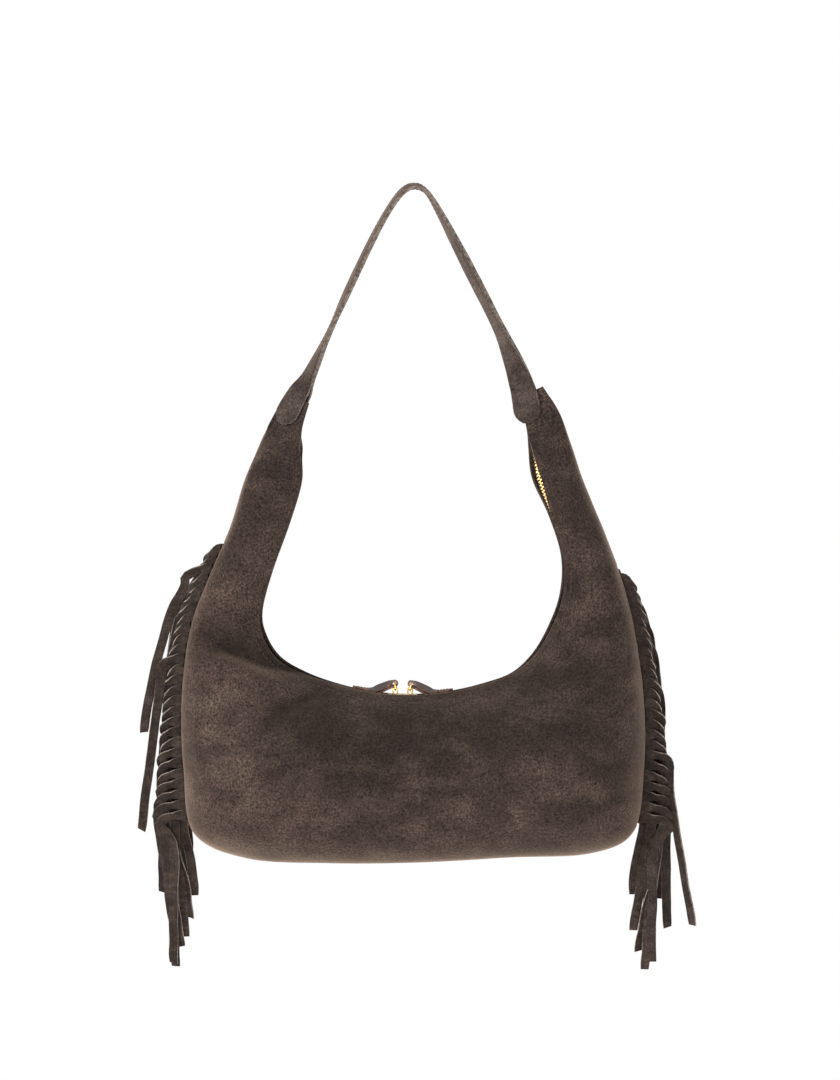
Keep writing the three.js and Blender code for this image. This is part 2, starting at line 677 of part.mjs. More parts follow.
// One of the strap's two plies: side 1 is the outer one at the top, -1 the one underneath.
function strapPly(side) {
  const radius = STRAP_TAB_WIDTH / 2;
  const round = [0, 0.1, 0.4, 1, 1.6].map((share) => share * radius);
  const middle = [];
  const steps = 2 * STRAP_LAST - 6;
  for (let i = 0; i <= steps; i += 1) {
    const place = mix(2, STRAP_LAST - 2, i / steps);
    middle.push(STRAP_LINE[Math.round(place * 20)].length);
  }
  const lengths = [...round, ...middle, ...round.map((value) => STRAP_LENGTH - value).reverse()];
  const layer = (extra) => lengths.map((length) => {
    const fromEnd = Math.min(length, STRAP_LENGTH - length);
    const { centre, face, across } = strapFrame(strapPlace(length));
    const half = strapHalfWidth(fromEnd);
    const held = smooth((fromEnd - TAB_HOLD) / TAB_CLOSE);
    const apart = mix(TIP_THICKNESS + 2 * GAP, SEAM_GAP, held) + extra;
    return [-1, 1].map((edge) => centre.clone()
      .addScaledVector(face, side * apart)
      .addScaledVector(across, edge * half));
  });
  return sheetSolid(layer(STRAP_PLY), layer(0));
}

// Points along the outer seam at even distances.
function seamPoints([from, to], pitch) {
  const line = [];
  for (let place = from; place <= to; place += 0.01) {
    const station = new Station(place);
    const point = station.point(station.width, 0);
    const previous = line.at(-1);
    line.push({ point, length: previous ? previous.length + point.distanceTo(previous.point) : 0 });
  }
  const count = Math.floor(line.at(-1).length / pitch);
  return Array.from({ length: count }, (_, i) => line.find(({ length }) => length >= (i + 0.5) * pitch).point);
}

// Repeatable value between -1 and 1 for strip i.
const vary = (i, seed) => Math.sin(i * 12.9898 + seed * 78.233) * Math.cos(i * 4.137 + seed * 2.71);

// Middle line of a strip: outwards from the seam, then over and down behind the strips below it.
// Further down it keeps clear of the bag's side, which widens below it.
function stripLine(root, out, { reach, hang, depth, drift }, sideOut) {
  const at = (outwards, y, down) => {
    const side = Math.max(sideOut(root.z - down) - out * root.x, 0) * Math.min(down / STRIP_PITCH, 1);
    return root.clone().add(new THREE.Vector3(out * (outwards + side), y, -down));
  };
  return new THREE.CatmullRomCurve3([
    at(-HEADER_OUTSIDE, 0, 0),
    at(1, 0, 0.1),
    at(0.55 * reach, 0, 0.8),
    at(0.88 * reach, 0.3, 3),
    at(reach, 0.3 * depth, 7.2),
    at(mix(reach, hang, 0.35), 0.78 * depth, 11.5),
    at(mix(reach, hang, 0.8), 0.95 * depth, 18),
    at(hang, depth, 28),
    at(hang + 0.2 * drift, depth, 52),
    at(hang + 0.5 * drift, depth, 85),
    at(hang + drift, depth, STRIP_LENGTH + 15),
  ], false, 'centripetal');
}

const STRIP_STEPS = [0, 6, 11, 16, 22, 29, 55, 85, STRIP_LENGTH];
const STRIP_LEAN = 50; // degrees by which a strip's upper edge leans forward over its outer end

function strip(root, out, shape, sideOut) {
  const curve = stripLine(root, out, shape, sideOut);
  const total = curve.getLength();
  const front = new THREE.Vector3(0, -1, 0);
  const faces = [[], []];
  for (const distance of STRIP_STEPS) {
    const u = Math.min((distance + 1) / total, 1);
    const centre = curve.getPointAt(u);
    const tangent = curve.getTangentAt(u);
    const lean = THREE.MathUtils.degToRad(STRIP_LEAN) * smooth((distance - 6) / 5) * (1 - smooth((distance - 9) / 13));
    const angle = lean + shape.turn * smooth((distance - 20) / 30);
    const upper = tangent.clone().cross(front).multiplyScalar(-out).normalize();
    const width = upper.multiplyScalar(Math.cos(angle)).addScaledVector(front, Math.sin(angle));
    width.addScaledVector(tangent, -width.dot(tangent)).normalize();
    const normal = tangent.clone().cross(width).normalize();
    faces.forEach((face, layer) => face.push([-1, 1].map((edge) => centre.clone()
      .addScaledVector(width, (edge * STRIP_WIDTH) / 2)
      .addScaledVector(normal, ((layer ? -1 : 1) * STRIP_THICKNESS) / 2))));
  }
  return sheetSolid(...faces);
}

function header([from, to]) {
  const upper = [];
  const lower = [];
  const steps = 12;
  for (let i = 0; i <= steps; i += 1) {
    const station = new Station(mix(from, to, i / steps));
    const row = (y) => [-HEADER_INSIDE, HEADER_OUTSIDE].map((out) => station.point(station.width + out, y));
    upper.push(row(-STRIP_THICKNESS / 2));
    lower.push(row(STRIP_THICKNESS / 2));
  }
  return sheetSolid(upper, lower);
}

// How each strip of a fringe hangs, from the top one down. From the lowest one up, each is laid behind
// those below it that it would touch.
function hangings(count, loose) {
  const shapes = Array.from({ length: count }, (_, i) => {
    const reach = 6.4 + 12.6 * (i / (count - 1)) ** 1.4 + 1.3 * vary(i, 1);
    const lane = i < 0.45 * count ? UPPER_LANES[i % 2] : LANES[i % 3];
    const hang = Math.max(reach + lane, CLEAR_OF_SIDE) + 0.4 * vary(i, 2);
    return { reach: reach - 1.5, hang, depth: FRONT_DEPTH, drift: 2.5 * vary(i, 3) - 2, turn: 0.45 * vary(i, 4) };
  });
  for (let i = count - 1; i >= 0; i -= 1) {
    if (loose[i]) {
      const [hang, depth, drift] = loose[i];
      shapes[i] = { reach: hang, hang, depth, drift, turn: 0.15 };
      continue;
    }
    for (let below = i + 1; below < Math.min(count, i + STRIP_LENGTH / STRIP_PITCH); below += 1) {
      if (loose[below]) continue;
      const beside = Math.abs(shapes[i].hang - shapes[below].hang) > STRIP_WIDTH;
      const step = beside ? PASS_STEP : STACK_STEP;
      shapes[i].depth = Math.max(shapes[i].depth, shapes[below].depth + step);
    }
  }
  return shapes;
}

function fringe(range, out, loose) {
  const roots = seamPoints(range, STRIP_PITCH);
  roots.sort((a, b) => b.z - a.z);
  const shapes = hangings(roots.length, loose);
  const sideOut = (z) => Math.max(...roots.map((root) => (root.z >= z - STRIP_PITCH ? out * root.x : 0)));
  const strips = roots.map((root, i) => strip(root, out, shapes[i], sideOut));
  return joined([header(range), ...strips]);
}

const COLOURS = {
  suede: { color: 0x4a403b, roughness: 0.95, metalness: 0 },
  lining: { color: 0x2c2927, roughness: 0.9, metalness: 0 },
  tape: { color: 0x2e2724, roughness: 0.85, metalness: 0 },
  brass: { color: 0xb08a4a, roughness: 0.3, metalness: 1 },
  leather: { color: 0x4a3a33, roughness: 0.7, metalness: 0 },
};

const bag = new THREE.Group();

function addPiece(name, geometry, finish) {
  const mesh = new THREE.Mesh(geometry, new THREE.MeshStandardMaterial(COLOURS[finish]));
  mesh.name = name;
  bag.add(mesh);
}

addPiece('front_panel', panel(-1), 'suede');
addPiece('back_panel', panel(1), 'suede');
addPiece('front_lining', lining(-1), 'lining');
addPiece('back_lining', lining(1), 'lining');
addPiece('fringe_left', fringe(LEFT_FRINGE, -1, LEFT_LOOSE), 'suede');
addPiece('fringe_right', fringe(RIGHT_FRINGE, 1, RIGHT_LOOSE), 'suede');
addPiece('zipper_tape_front', zipperTape(-1), 'tape');
addPiece('zipper_tape_back', zipperTape(1), 'tape');
addPiece('zipper_teeth_front', toothRow(-1), 'brass');
addPiece('zipper_teeth_back', toothRow(1), 'brass');
addPiece('zipper_stop_left', endStop(false), 'brass');
addPiece('zipper_stop_right', endStop(true), 'brass');
for (const [name, side] of [['left', -1], ['right', 1]]) {
  addPiece(`slider_${name}`, onZip(sliderGeometry(), side), 'brass');
  addPiece(`pull_link_${name}`, onZip(linkGeometry(), side), 'brass');
  addPiece(`pull_tab_${name}`, onZip(tabGeometry(), side), 'leather');
}
addPiece('strap_outer_ply', strapPly(1), 'suede');
addPiece('strap_inner_ply', strapPly(-1), 'suede');

export default bag;
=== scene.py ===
"""Fringed suede shoulder bag, hanging from the top of its strap.

Sizes are written in millimetres in the bag's own frame: +Z up, the plain front panel faces -Y, and the
origin is the spot under the top of the strap. Meshes are scaled to metres as they are finished.
"""

from __future__ import annotations

import json
import logging
import math
from dataclasses import dataclass, field
from enum import Enum
from typing import Callable, Iterable, Sequence

import bmesh
import bpy
from mathutils import Matrix, Vector, noise

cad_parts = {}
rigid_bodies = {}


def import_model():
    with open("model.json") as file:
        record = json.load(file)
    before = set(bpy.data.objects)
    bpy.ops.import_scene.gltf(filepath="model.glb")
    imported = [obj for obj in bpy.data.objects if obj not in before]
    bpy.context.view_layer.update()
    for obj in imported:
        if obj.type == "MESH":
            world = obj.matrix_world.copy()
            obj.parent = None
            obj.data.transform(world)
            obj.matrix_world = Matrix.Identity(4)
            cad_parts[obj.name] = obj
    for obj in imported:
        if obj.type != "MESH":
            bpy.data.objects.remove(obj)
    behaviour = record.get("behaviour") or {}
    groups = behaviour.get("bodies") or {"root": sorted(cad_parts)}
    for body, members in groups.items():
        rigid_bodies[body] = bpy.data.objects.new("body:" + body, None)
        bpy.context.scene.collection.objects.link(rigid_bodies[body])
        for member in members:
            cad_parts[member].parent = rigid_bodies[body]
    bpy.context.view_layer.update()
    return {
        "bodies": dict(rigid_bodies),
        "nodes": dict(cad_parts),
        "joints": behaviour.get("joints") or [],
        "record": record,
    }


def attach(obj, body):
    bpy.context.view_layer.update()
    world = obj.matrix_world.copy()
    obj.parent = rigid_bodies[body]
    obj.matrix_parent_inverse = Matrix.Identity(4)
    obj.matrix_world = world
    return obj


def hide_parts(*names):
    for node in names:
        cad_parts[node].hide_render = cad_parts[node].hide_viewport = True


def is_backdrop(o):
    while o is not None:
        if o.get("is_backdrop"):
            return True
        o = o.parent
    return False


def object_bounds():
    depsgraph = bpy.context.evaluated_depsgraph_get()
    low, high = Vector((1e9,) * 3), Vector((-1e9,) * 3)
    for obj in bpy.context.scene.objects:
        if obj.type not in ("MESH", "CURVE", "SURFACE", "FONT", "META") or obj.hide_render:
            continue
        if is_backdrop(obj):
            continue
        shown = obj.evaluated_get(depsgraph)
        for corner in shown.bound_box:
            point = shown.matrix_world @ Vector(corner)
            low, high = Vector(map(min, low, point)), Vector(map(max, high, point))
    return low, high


LOG = logging.getLogger("fringed_bag")
MM = 0.001
Row = Sequence[float]
Place = Callable[[float, float], Vector]

# From the panels' inner edges to the zipper.
ZIP_RECESS = 3.1
# Outline of the crescent: inner x, inner z, outer x, outer z, turn in degrees, sag of the front edge.
LEFT_OUTLINE: tuple[Row, ...] = (
    (-71.6, -151.2, -90, -141.3, 36, 0),
    (-76.2, -171.2, -101, -160, 36, 0),
    (-78.5, -185.5, -109.5, -183.5, 6, 0),
    (-78.4, -206, -118.5, -205.5, 0, 0),
    (-87, -235, -128, -236.5, 0, 0),
    (-99, -268.5, -141, -267, 0, 0),
    (-106, -296.5, -154.5, -302, 0, 0.6),
    (-102.5, -314, -160.5, -335.5, 0, 1.8),
    (-92.5, -328.5, -162.5, -368.5, 0, 1.9),
    (-75.5, -338.5, -161, -405.5, 0, 1.2),
)
BOTTOM_OUTLINE: tuple[Row, ...] = (
    (-154, -450.5),
    (-117, -468.5),
    (-58.5, -472),
    (4.5, -471.5),
    (67.5, -468),
    (124.5, -465),
    (154.5, -449),
)
RIGHT_OUTLINE: tuple[Row, ...] = (
    (83, -326, 161.5, -403.5, 0, 1.2),
    (94, -307.5, 161.5, -361.5, 0, 1.8),
    (102.5, -284, 156.5, -319.5, 0, 1.8),
    (103.5, -257, 148, -281, 0, 1),
    (95, -228, 135, -244, 6, 0),
    (85, -204, 121.5, -208.5, 22, 0),
    (81.5, -182.5, 110, -178, 8, 0),
    (78, -162, 102, -157, 0, 0),
    (74.5, -145.5, 90.5, -138.5, 0, 0),
)
# Middle of the strap from its left tab over the top to its right one: x, z, turn in degrees.
STRAP_ROUTE: tuple[Row, ...] = (
    (-91.2, -165, 36),
    (-85.3, -153.3, 36),
    (-78.2, -140.8, 40),
    (-71.5, -127.8, 60),
    (-58, -98.5, 82),
    (-47, -74, 76),
    (-30.5, -39, 77),
    (-19, -17.5, 79),
    (-10.5, -5, 78),
    (-4.5, 0.4, 76),
    (0, 1.65, 76),
    (4.5, 1, 78),
    (10.5, -4, 88),
    (19.5, -19, 98),
    (38.5, -55.5, 110),
    (59.5, -97, 112),
    (69.5, -120, 140),
    (76, -138.5, 178),
    (79, -151.5, 180),
    (80.2, -164, 180),
)


class Named(Enum):
    """Sides and ends of the bag, which give pieces their names."""

    @property
    def word(self) -> str:
        """Name of this side or end in piece names."""
        return self.name.lower()


class Side(Named):
    """The two panels of the bag, by the sign of y that they face."""

    FRONT = -1
    BACK = 1


class Hand(Named):
    """The two ends of the bag, by the sign of x."""

    LEFT = -1
    RIGHT = 1


class Slot(Enum):
    """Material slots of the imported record."""

    SUEDE = "suede"
    LINING = "lining"
    TAPE = "zipper_tape"
    BRASS = "brass"
    LEATHER = "pull_leather"


def mix(a: float, b: float, t: float) -> float:
    """Value between a and b."""
    return a + (b - a) * t


def smooth(value: float) -> float:
    """Smooth step from 0 to 1."""
    value = min(max(value, 0.0), 1.0)
    return value * value * (3 - 2 * value)


def vary(index: int, seed: int) -> float:
    """Repeatable value between -1 and 1 for one strip."""
    return math.sin(index * 12.9898 + seed * 78.233) * math.cos(index * 4.137 + seed * 2.71)


def hermite(
    start: float | Vector, end: float | Vector, leaving: float | Vector, arriving: float | Vector, t: float
) -> float | Vector:
    """Point of a cubic between two values or vectors.

    Args:
        start: Where it begins.
        end: Where it ends.
        leaving: Slope at the beginning.
        arriving: Slope at the end.
        t: Share of the way, from 0 to 1.

    Returns:
        The value or vector at t.
    """
    t2, t3 = t * t, t * t * t
    near = start * (2 * t3 - 3 * t2 + 1) + leaving * (t3 - 2 * t2 + t)
    return near + end * (3 * t2 - 2 * t3) + arriving * (t3 - t2)


def smooth_row(rows: Sequence[Row], place: float) -> list[float]:
    """Point on the smooth line through rows of numbers.

    Args:
        rows: The numbers that the line passes through.
        place: Where to read it, counted in rows.

    Returns:
        One row of interpolated numbers.
    """
    last = len(rows) - 1
    cell = min(max(int(math.floor(place)), 0), last - 1)
    t = place - cell
    before, start = rows[max(cell - 1, 0)], rows[cell]
    end, after = rows[cell + 1], rows[min(cell + 2, last)]
    out = []
    for i, value in enumerate(start):
        leaving = (end[i] - before[i]) / (2 if cell > 0 else 1)
        arriving = (after[i] - value) / (2 if cell + 2 <= last else 1)
        out.append(hermite(value, end[i], leaving, arriving, t))
    return out


def linear(code: str) -> tuple[float, float, float, float]:
    """Linear colour of an sRGB hex code.

    Args:
        code: Colour such as "#433834".

    Returns:
        Linear red, green, blue and an alpha of 1.
    """
    parts = [int(code[i : i + 2], 16) / 255 for i in (1, 3, 5)]
    red, green, blue = ((c / 12.92) if c <= 0.04045 else ((c + 0.055) / 1.055) ** 2.4 for c in parts)
    return (red, green, blue, 1.0)


def add_node(
    tree: bpy.types.NodeTree,
    kind: str,
    settings: dict[str, object] | None = None,
    inputs: dict[str | int, object] | None = None,
) -> bpy.types.Node:
    """Adds one shader node.

    Args:
        tree: The node tree.
        kind: The node's type name.
        settings: Attributes of the node.
        inputs: Input values, or output sockets to link from, by socket name or number.

    Returns:
        The new node.
    """
    made = tree.nodes.new(kind)
    for key, value in (settings or {}).items():
        setattr(made, key, value)
    for key, value in (inputs or {}).items():
        socket = made.inputs[key]
        if isinstance(value, bpy.types.NodeSocket):
            tree.links.new(value, socket)
        else:
            socket.default_value = value
    return made


# ---- finishes


class Finish:
    """One finish of the bag, made into a Blender material when it is first used."""

    name: str = ""

    def material(self) -> bpy.types.Material:
        """The material of this finish."""
        found = bpy.data.materials.get(self.name)
        if found:
            return found
        made = bpy.data.materials.new(self.name)
        made.use_nodes = True
        made.node_tree.nodes.clear()
        shader = self.build(made.node_tree)
        add_node(made.node_tree, "ShaderNodeOutputMaterial", {}, {"Surface": shader.outputs[0]})
        return made

    def build(self, tree: bpy.types.NodeTree) -> bpy.types.Node:
        """Adds the finish's nodes and returns its shader."""
        raise NotImplementedError


def noise_node(tree: bpy.types.NodeTree, size_mm: float, detail: float = 2.0, stretch: Vector | None = None):
    """Noise in Object coordinates whose blotches are about size_mm across.

    Args:
        tree: The node tree.
        size_mm: Size of one blotch.
        detail: Octaves of finer noise.
        stretch: Scale of the coordinates along X, Y and Z.

    Returns:
        The noise's value socket.
    """
    coordinates = add_node(tree, "ShaderNodeTexCoord")
    mapping = add_node(
        tree,
        "ShaderNodeMapping",
        {},
        {"Vector": coordinates.outputs["Object"], "Scale": stretch or Vector((1, 1, 1))},
    )
    return add_node(
        tree,
        "ShaderNodeTexNoise",
        {},
        {"Vector": mapping.outputs[0], "Scale": 1 / (size_mm * MM), "Detail": detail, "Roughness": 0.55},
    ).outputs[0]


def ranged(tree: bpy.types.NodeTree, value, low: float, high: float, to_low: float, to_high: float):
    """Value socket mapped from one range to another, clamped."""
    return add_node(
        tree,
        "ShaderNodeMapRange",
        {"clamp": True},
        {"Value": value, "From Min": low, "From Max": high, "To Min": to_low, "To Max": to_high},
    ).outputs[0]


def blended(tree: bpy.types.NodeTree, factor, first, second, blend: str = "MIX"):
    """Colour socket mixed from two colours."""
    made = add_node(tree, "ShaderNodeMix", {"data_type": "RGBA", "blend_type": blend})
    for socket, value in ((made.inputs[0], factor), (made.inputs[6], first), (made.inputs[7], second)):
        if isinstance(value, bpy.types.NodeSocket):
            tree.links.new(value, socket)
        else:
            socket.default_value = value
    return made.outputs[2]


def bump(tree: bpy.types.NodeTree, height, strength: float, reach_mm: float, under=None):
    """Normal socket of a bump map.

    Args:
        tree: The node tree.
        height: Socket of the height.
        strength: Strength of the bump.
        reach_mm: How high it stands, in millimetres.
        under: Normal that it lies over.

    Returns:
        The new normal socket.
    """
    inputs = {"Strength": strength, "Distance": reach_mm * MM, "Height": height}
    if under:
        inputs["Normal"] = under
    return add_node(tree, "ShaderNodeBump", {}, inputs).outputs[0]


def principled(tree: bpy.types.NodeTree, inputs: dict[str | int, object]) -> bpy.types.Node:
    """Principled shader with the given inputs."""
    return add_node(tree, "ShaderNodeBsdfPrincipled", {}, inputs)


@dataclass(frozen=True)
class NappedSuede(Finish):
    """Cow suede, buffed to a short pile.

    The pile lies in wide, soft-edged patches that catch the light differently, hand marks drag through
    it, and its fibres give a fine speckle. Where a vertex attribute is read, it multiplies the colour:
    painted light and shade on the panels, random mottling from strip to strip on the fringe.
    """

    name: str = "napped suede"
    dark: str = "#261d1a"
    middle: str = "#372c27"
    light: str = "#4e4139"
    patch_mm: float = 85.0
    stroke_mm: float = 26.0
    fibre_mm: float = 1.5
    speckle: float = 0.45
    sheen: float = 0.75
    # Whether the colour is multiplied by the vertex attribute: painted light and shade on the panels, random
    # mottling on the fringe's strips.
    toned: bool = False

    def build(self, tree: bpy.types.NodeTree) -> bpy.types.Node:
        """Patches, strokes and fibres of the pile, and the vertex attribute where it is read."""
        patches = ranged(tree, noise_node(tree, self.patch_mm, 2), 0.3, 0.7, 0, 1)
        strokes = noise_node(tree, self.stroke_mm, 2, Vector((1.0, 1.0, 1.5)))
        fibre = noise_node(tree, self.fibre_mm, 2)
        hair = noise_node(tree, self.fibre_mm * 0.45, 2, Vector((1.0, 1.0, 0.6)))
        colour = blended(tree, patches, linear(self.dark), linear(self.middle))
        colour = blended(tree, ranged(tree, strokes, 0.42, 0.78, 0, 0.55), colour, linear(self.light))
        colour = blended(tree, ranged(tree, strokes, 0.22, 0.5, 0.5, 0), colour, linear(self.dark))
        for grain, share in ((fibre, 1.0), (hair, 0.8)):
            low, high = 1 - self.speckle * share * 1.3, 1 + self.speckle * share * 1.6
            colour = blended(tree, 1.0, colour, ranged(tree, grain, 0.32, 0.68, low, high), "MULTIPLY")
        # The vertex attribute multiplies the colour: painted light and shade on the panels, random mottling
        # per strip on the fringe.
        if self.toned:
            tone = add_node(tree, "ShaderNodeAttribute", {"attribute_name": "tone"}).outputs["Fac"]
            colour = blended(tree, 1.0, colour, ranged(tree, tone, 0, 1, 0.4, 1.6), "MULTIPLY")
        normal = None
        for height, strength, reach in ((strokes, 0.2, 0.8), (fibre, 0.5, 0.4), (hair, 0.35, 0.25)):
            normal = bump(tree, height, strength, reach, normal)
        return principled(
            tree,
            {
                "Base Color": colour,
                "Roughness": 0.93,
                "Specular IOR Level": 0.15,
                "Sheen Weight": self.sheen,
                "Sheen Roughness": 0.4,
                "Sheen Tint": linear("#b39c88"),
                "Normal": normal,
            },
        )


@dataclass(frozen=True)
class CutEdge(Finish):
    """Raw cut edge of suede, where the pale inside of the hide shows."""

    name: str = "cut suede edge"
    dark: str = "#5d5048"
    light: str = "#93877c"
    fibre_mm: float = 2.2

    def build(self, tree: bpy.types.NodeTree) -> bpy.types.Node:
        """Short pale fibres with darker gaps."""
        fibre = noise_node(tree, self.fibre_mm, 3)
        colour = blended(tree, ranged(tree, fibre, 0.34, 0.62, 0, 1), linear(self.dark), linear(self.light))
        normal = bump(tree, fibre, 0.4, 0.3)
        return principled(
            tree,
            {
                "Base Color": colour,
                "Roughness": 0.9,
                "Specular IOR Level": 0.25,
                "Sheen Weight": 0.2,
                "Sheen Roughness": 0.5,
                "Normal": normal,
            },
        )


@dataclass(frozen=True)
class WovenCloth(Finish):
    """Plain woven cloth, with threads along its height and across it."""

    name: str = "woven cotton"
    dark: str = "#1d1a18"
    light: str = "#383230"
    thread_mm: float = 0.9
    waves_to_threads: float = 0.314

    def build(self, tree: bpy.types.NodeTree) -> bpy.types.Node:
        """Two sets of threads, and lint over them."""
        coordinates = add_node(tree, "ShaderNodeTexCoord").outputs["Object"]
        threads = [
            add_node(
                tree,
                "ShaderNodeTexWave",
                {"wave_type": "BANDS", "bands_direction": direction},
                {
                    "Vector": coordinates,
                    "Scale": self.waves_to_threads / (self.thread_mm * MM),
                    "Distortion": 0.6,
                    "Detail": 1,
                },
            ).outputs["Fac"]
            for direction in ("X", "Z")
        ]
        weave = blended(tree, 1.0, threads[0], threads[1], "MULTIPLY")
        lint = noise_node(tree, 9, 2)
        shade = blended(tree, 0.35, weave, lint)
        colour = blended(tree, shade, linear(self.dark), linear(self.light))
        normal = bump(tree, weave, 0.5, 0.2)
        return principled(
            tree, {"Base Color": colour, "Roughness": 0.85, "Specular IOR Level": 0.3, "Normal": normal}
        )


@dataclass(frozen=True)
class PolishedBrass(Finish):
    """Die-cast brass, tumbled bright, with faint handling marks."""

    name: str = "polished brass"
    deep: str = "#a87c3c"
    bright: str = "#e0b970"
    mark_mm: float = 2.5

    def build(self, tree: bpy.types.NodeTree) -> bpy.types.Node:
        """Slightly uneven colour and polish."""
        marks = noise_node(tree, self.mark_mm, 4)
        colour = blended(tree, ranged(tree, marks, 0.3, 0.7, 0, 1), linear(self.deep), linear(self.bright))
        normal = bump(tree, marks, 0.08, 0.1)
        return principled(
            tree,
            {
                "Base Color": colour,
                "Metallic": 1.0,
                "Roughness": ranged(tree, marks, 0.3, 0.7, 0.18, 0.34),
                "Normal": normal,
            },
        )


@dataclass(frozen=True)
class SmoothLeather(Finish):
    """Smooth drum-dyed leather with a fine pebbled grain."""

    name: str = "smooth leather"
    dark: str = "#1c130d"
    light: str = "#362219"
    grain_mm: float = 0.8

    def build(self, tree: bpy.types.NodeTree) -> bpy.types.Node:
        """Small grain cells and uneven dye."""
        coordinates = add_node(tree, "ShaderNodeTexCoord").outputs["Object"]
        cells = add_node(
            tree, "ShaderNodeTexVoronoi", {}, {"Vector": coordinates, "Scale": 1 / (self.grain_mm * MM)}
        ).outputs["Distance"]
        dye = noise_node(tree, 6, 3)
        colour = blended(tree, ranged(tree, dye, 0.3, 0.7, 0, 1), linear(self.dark), linear(self.light))
        normal = bump(tree, cells, 0.3, 0.15)
        return principled(
            tree, {"Base Color": colour, "Roughness": 0.5, "Specular IOR Level": 0.45, "Normal": normal}
        )


@dataclass(frozen=True)
class WaxedThread(Finish):
    """Twisted polyester sewing thread."""

    name: str = "waxed thread"
    dark: str = "#1b1411"
    light: str = "#3b312a"
    twist_mm: float = 0.6

    def build(self, tree: bpy.types.NodeTree) -> bpy.types.Node:
        """Fine twist along the thread."""
        twist = noise_node(tree, self.twist_mm, 1)
        colour = blended(tree, twist, linear(self.dark), linear(self.light))
        return principled(tree, {"Base Color": colour, "Roughness": 0.6, "Specular IOR Level": 0.4})


# The panels' suede takes painted light and shade from its vertex attribute.
SUEDE = NappedSuede(toned=True)
STRAP_SUEDE = NappedSuede(
    name="napped strap suede", dark="#302723", middle="#413732", light="#574c46", patch_mm=30, stroke_mm=14,
    speckle=0.3, sheen=0.4,
)
STRIP_SUEDE = NappedSuede(
    name="napped strip suede", dark="#241d1a", middle="#322925", light="#473c35", patch_mm=22, stroke_mm=9,
    speckle=0.24, sheen=0.2, toned=True,
)
CUT_EDGE = CutEdge()
STRAP_EDGE = CutEdge(name="cut strap edge", dark="#453b35", light="#776b62")
STRIP_EDGE = CutEdge(name="cut strip edge", dark="#54473f", light="#8f8277")
SEAM_EDGE = CutEdge(name="cut seam edge", dark="#4a342b", light="#7c5d4d")
LINING_COTTON = WovenCloth()
ZIPPER_CLOTH = WovenCloth(name="woven zipper tape", dark="#1f1916", light="#453a33", thread_mm=0.7)
BRASS = PolishedBrass()
PULL_LEATHER = SmoothLeather()
THREAD = WaxedThread()


# ---- mesh helpers


def put_in_scene(
    piece: bpy.types.Object, body: str, slot: Slot, replaced: Iterable[str] = ()
) -> bpy.types.Object:
    """Links a finished piece, rides it on a body and hides the CAD nodes it stands for.

    Args:
        piece: The finished object, at the origin.
        body: The CAD body that carries it.
        slot: The record's slot for its finish; not used.
        replaced: CAD nodes it stands for.

    Returns:
        The same object.
    """
    if piece.name not in bpy.context.scene.collection.objects:
        bpy.context.scene.collection.objects.link(piece)
    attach(piece, body)
    if replaced:
        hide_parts(*replaced)
    LOG.info("%s on %s", piece.name, body)
    return piece


def mesh_piece(
    bm: bmesh.types.BMesh, name: str, finishes: Sequence[Finish], smooth_faces: bool = True
) -> bpy.types.Object:
    """Object in metres from a bmesh in millimetres.

    Args:
        bm: The shape, which is freed here.
        name: Name of the piece.
        finishes: One finish for each material index.
        smooth_faces: Whether its faces are shaded as one smooth surface.

    Returns:
        The new object.
    """
    bmesh.ops.scale(bm, vec=Vector((MM, MM, MM)), verts=bm.verts)
    for face in bm.faces:
        face.smooth = smooth_faces
    mesh = bpy.data.meshes.new(name)
    bm.to_mesh(mesh)
    bm.free()
    for finish in finishes:
        mesh.materials.append(finish.material())
    return bpy.data.objects.new(name, mesh)


def add_grid(
    bm: bmesh.types.BMesh, columns: int, rows: int, place: Place, outward: Vector | None = None
) -> list:
    """Adds a sheet whose points are placed by a function of u and v from 0 to 1.

    Args:
        bm: The bmesh to add to.
        columns: Faces along u.
        rows: Faces along v.
        place: Function that gives the point at u, v.
        outward: Rough direction that the faces are to look in.

    Returns:
        The new vertices.
    """
    verts = bmesh.ops.create_grid(bm, x_segments=columns, y_segments=rows, size=1.0)["verts"]
    for vert in verts:
        vert.co = place((vert.co.x + 1) / 2, (vert.co.y + 1) / 2)
    if outward is not None:
        faces = list({face for vert in verts for face in vert.link_faces})
        for face in faces:
            face.normal_update()
        if sum((face.normal.dot(outward) * face.calc_area() for face in faces)) < 0:
            bmesh.ops.reverse_faces(bm, faces=faces)
    return verts


def round_edges(piece: bpy.types.Object, width: float, angle: float) -> None:
    """Rounds the edges of a piece that are sharper than an angle.

    Args:
        piece: The piece.
        width: Rounding in millimetres.
        angle: In degrees.
    """
    rounding = piece.modifiers.new("rounding", "BEVEL")
    rounding.width = width * MM
    rounding.segments = 2
    rounding.limit_method = "ANGLE"
    rounding.angle_limit = math.radians(angle)


def thicken(
    piece: bpy.types.Object, thickness: float, offset: float, rim_slot: int = 0, bevel: float = 0.0
) -> None:
    """Gives a sheet its thickness, and rounds its edges.

    Args:
        piece: The sheet.
        thickness: In millimetres.
        offset: -1 grows inwards, 0 to both sides.
        rim_slot: How far on in the materials the rim's is.
        bevel: Rounding of the edges in millimetres.
    """
    solid = piece.modifiers.new("thickness", "SOLIDIFY")
    solid.thickness = thickness * MM
    solid.offset = offset
    solid.use_even_offset = True
    solid.material_offset_rim = rim_slot
    if bevel:
        round_edges(piece, bevel, 50)


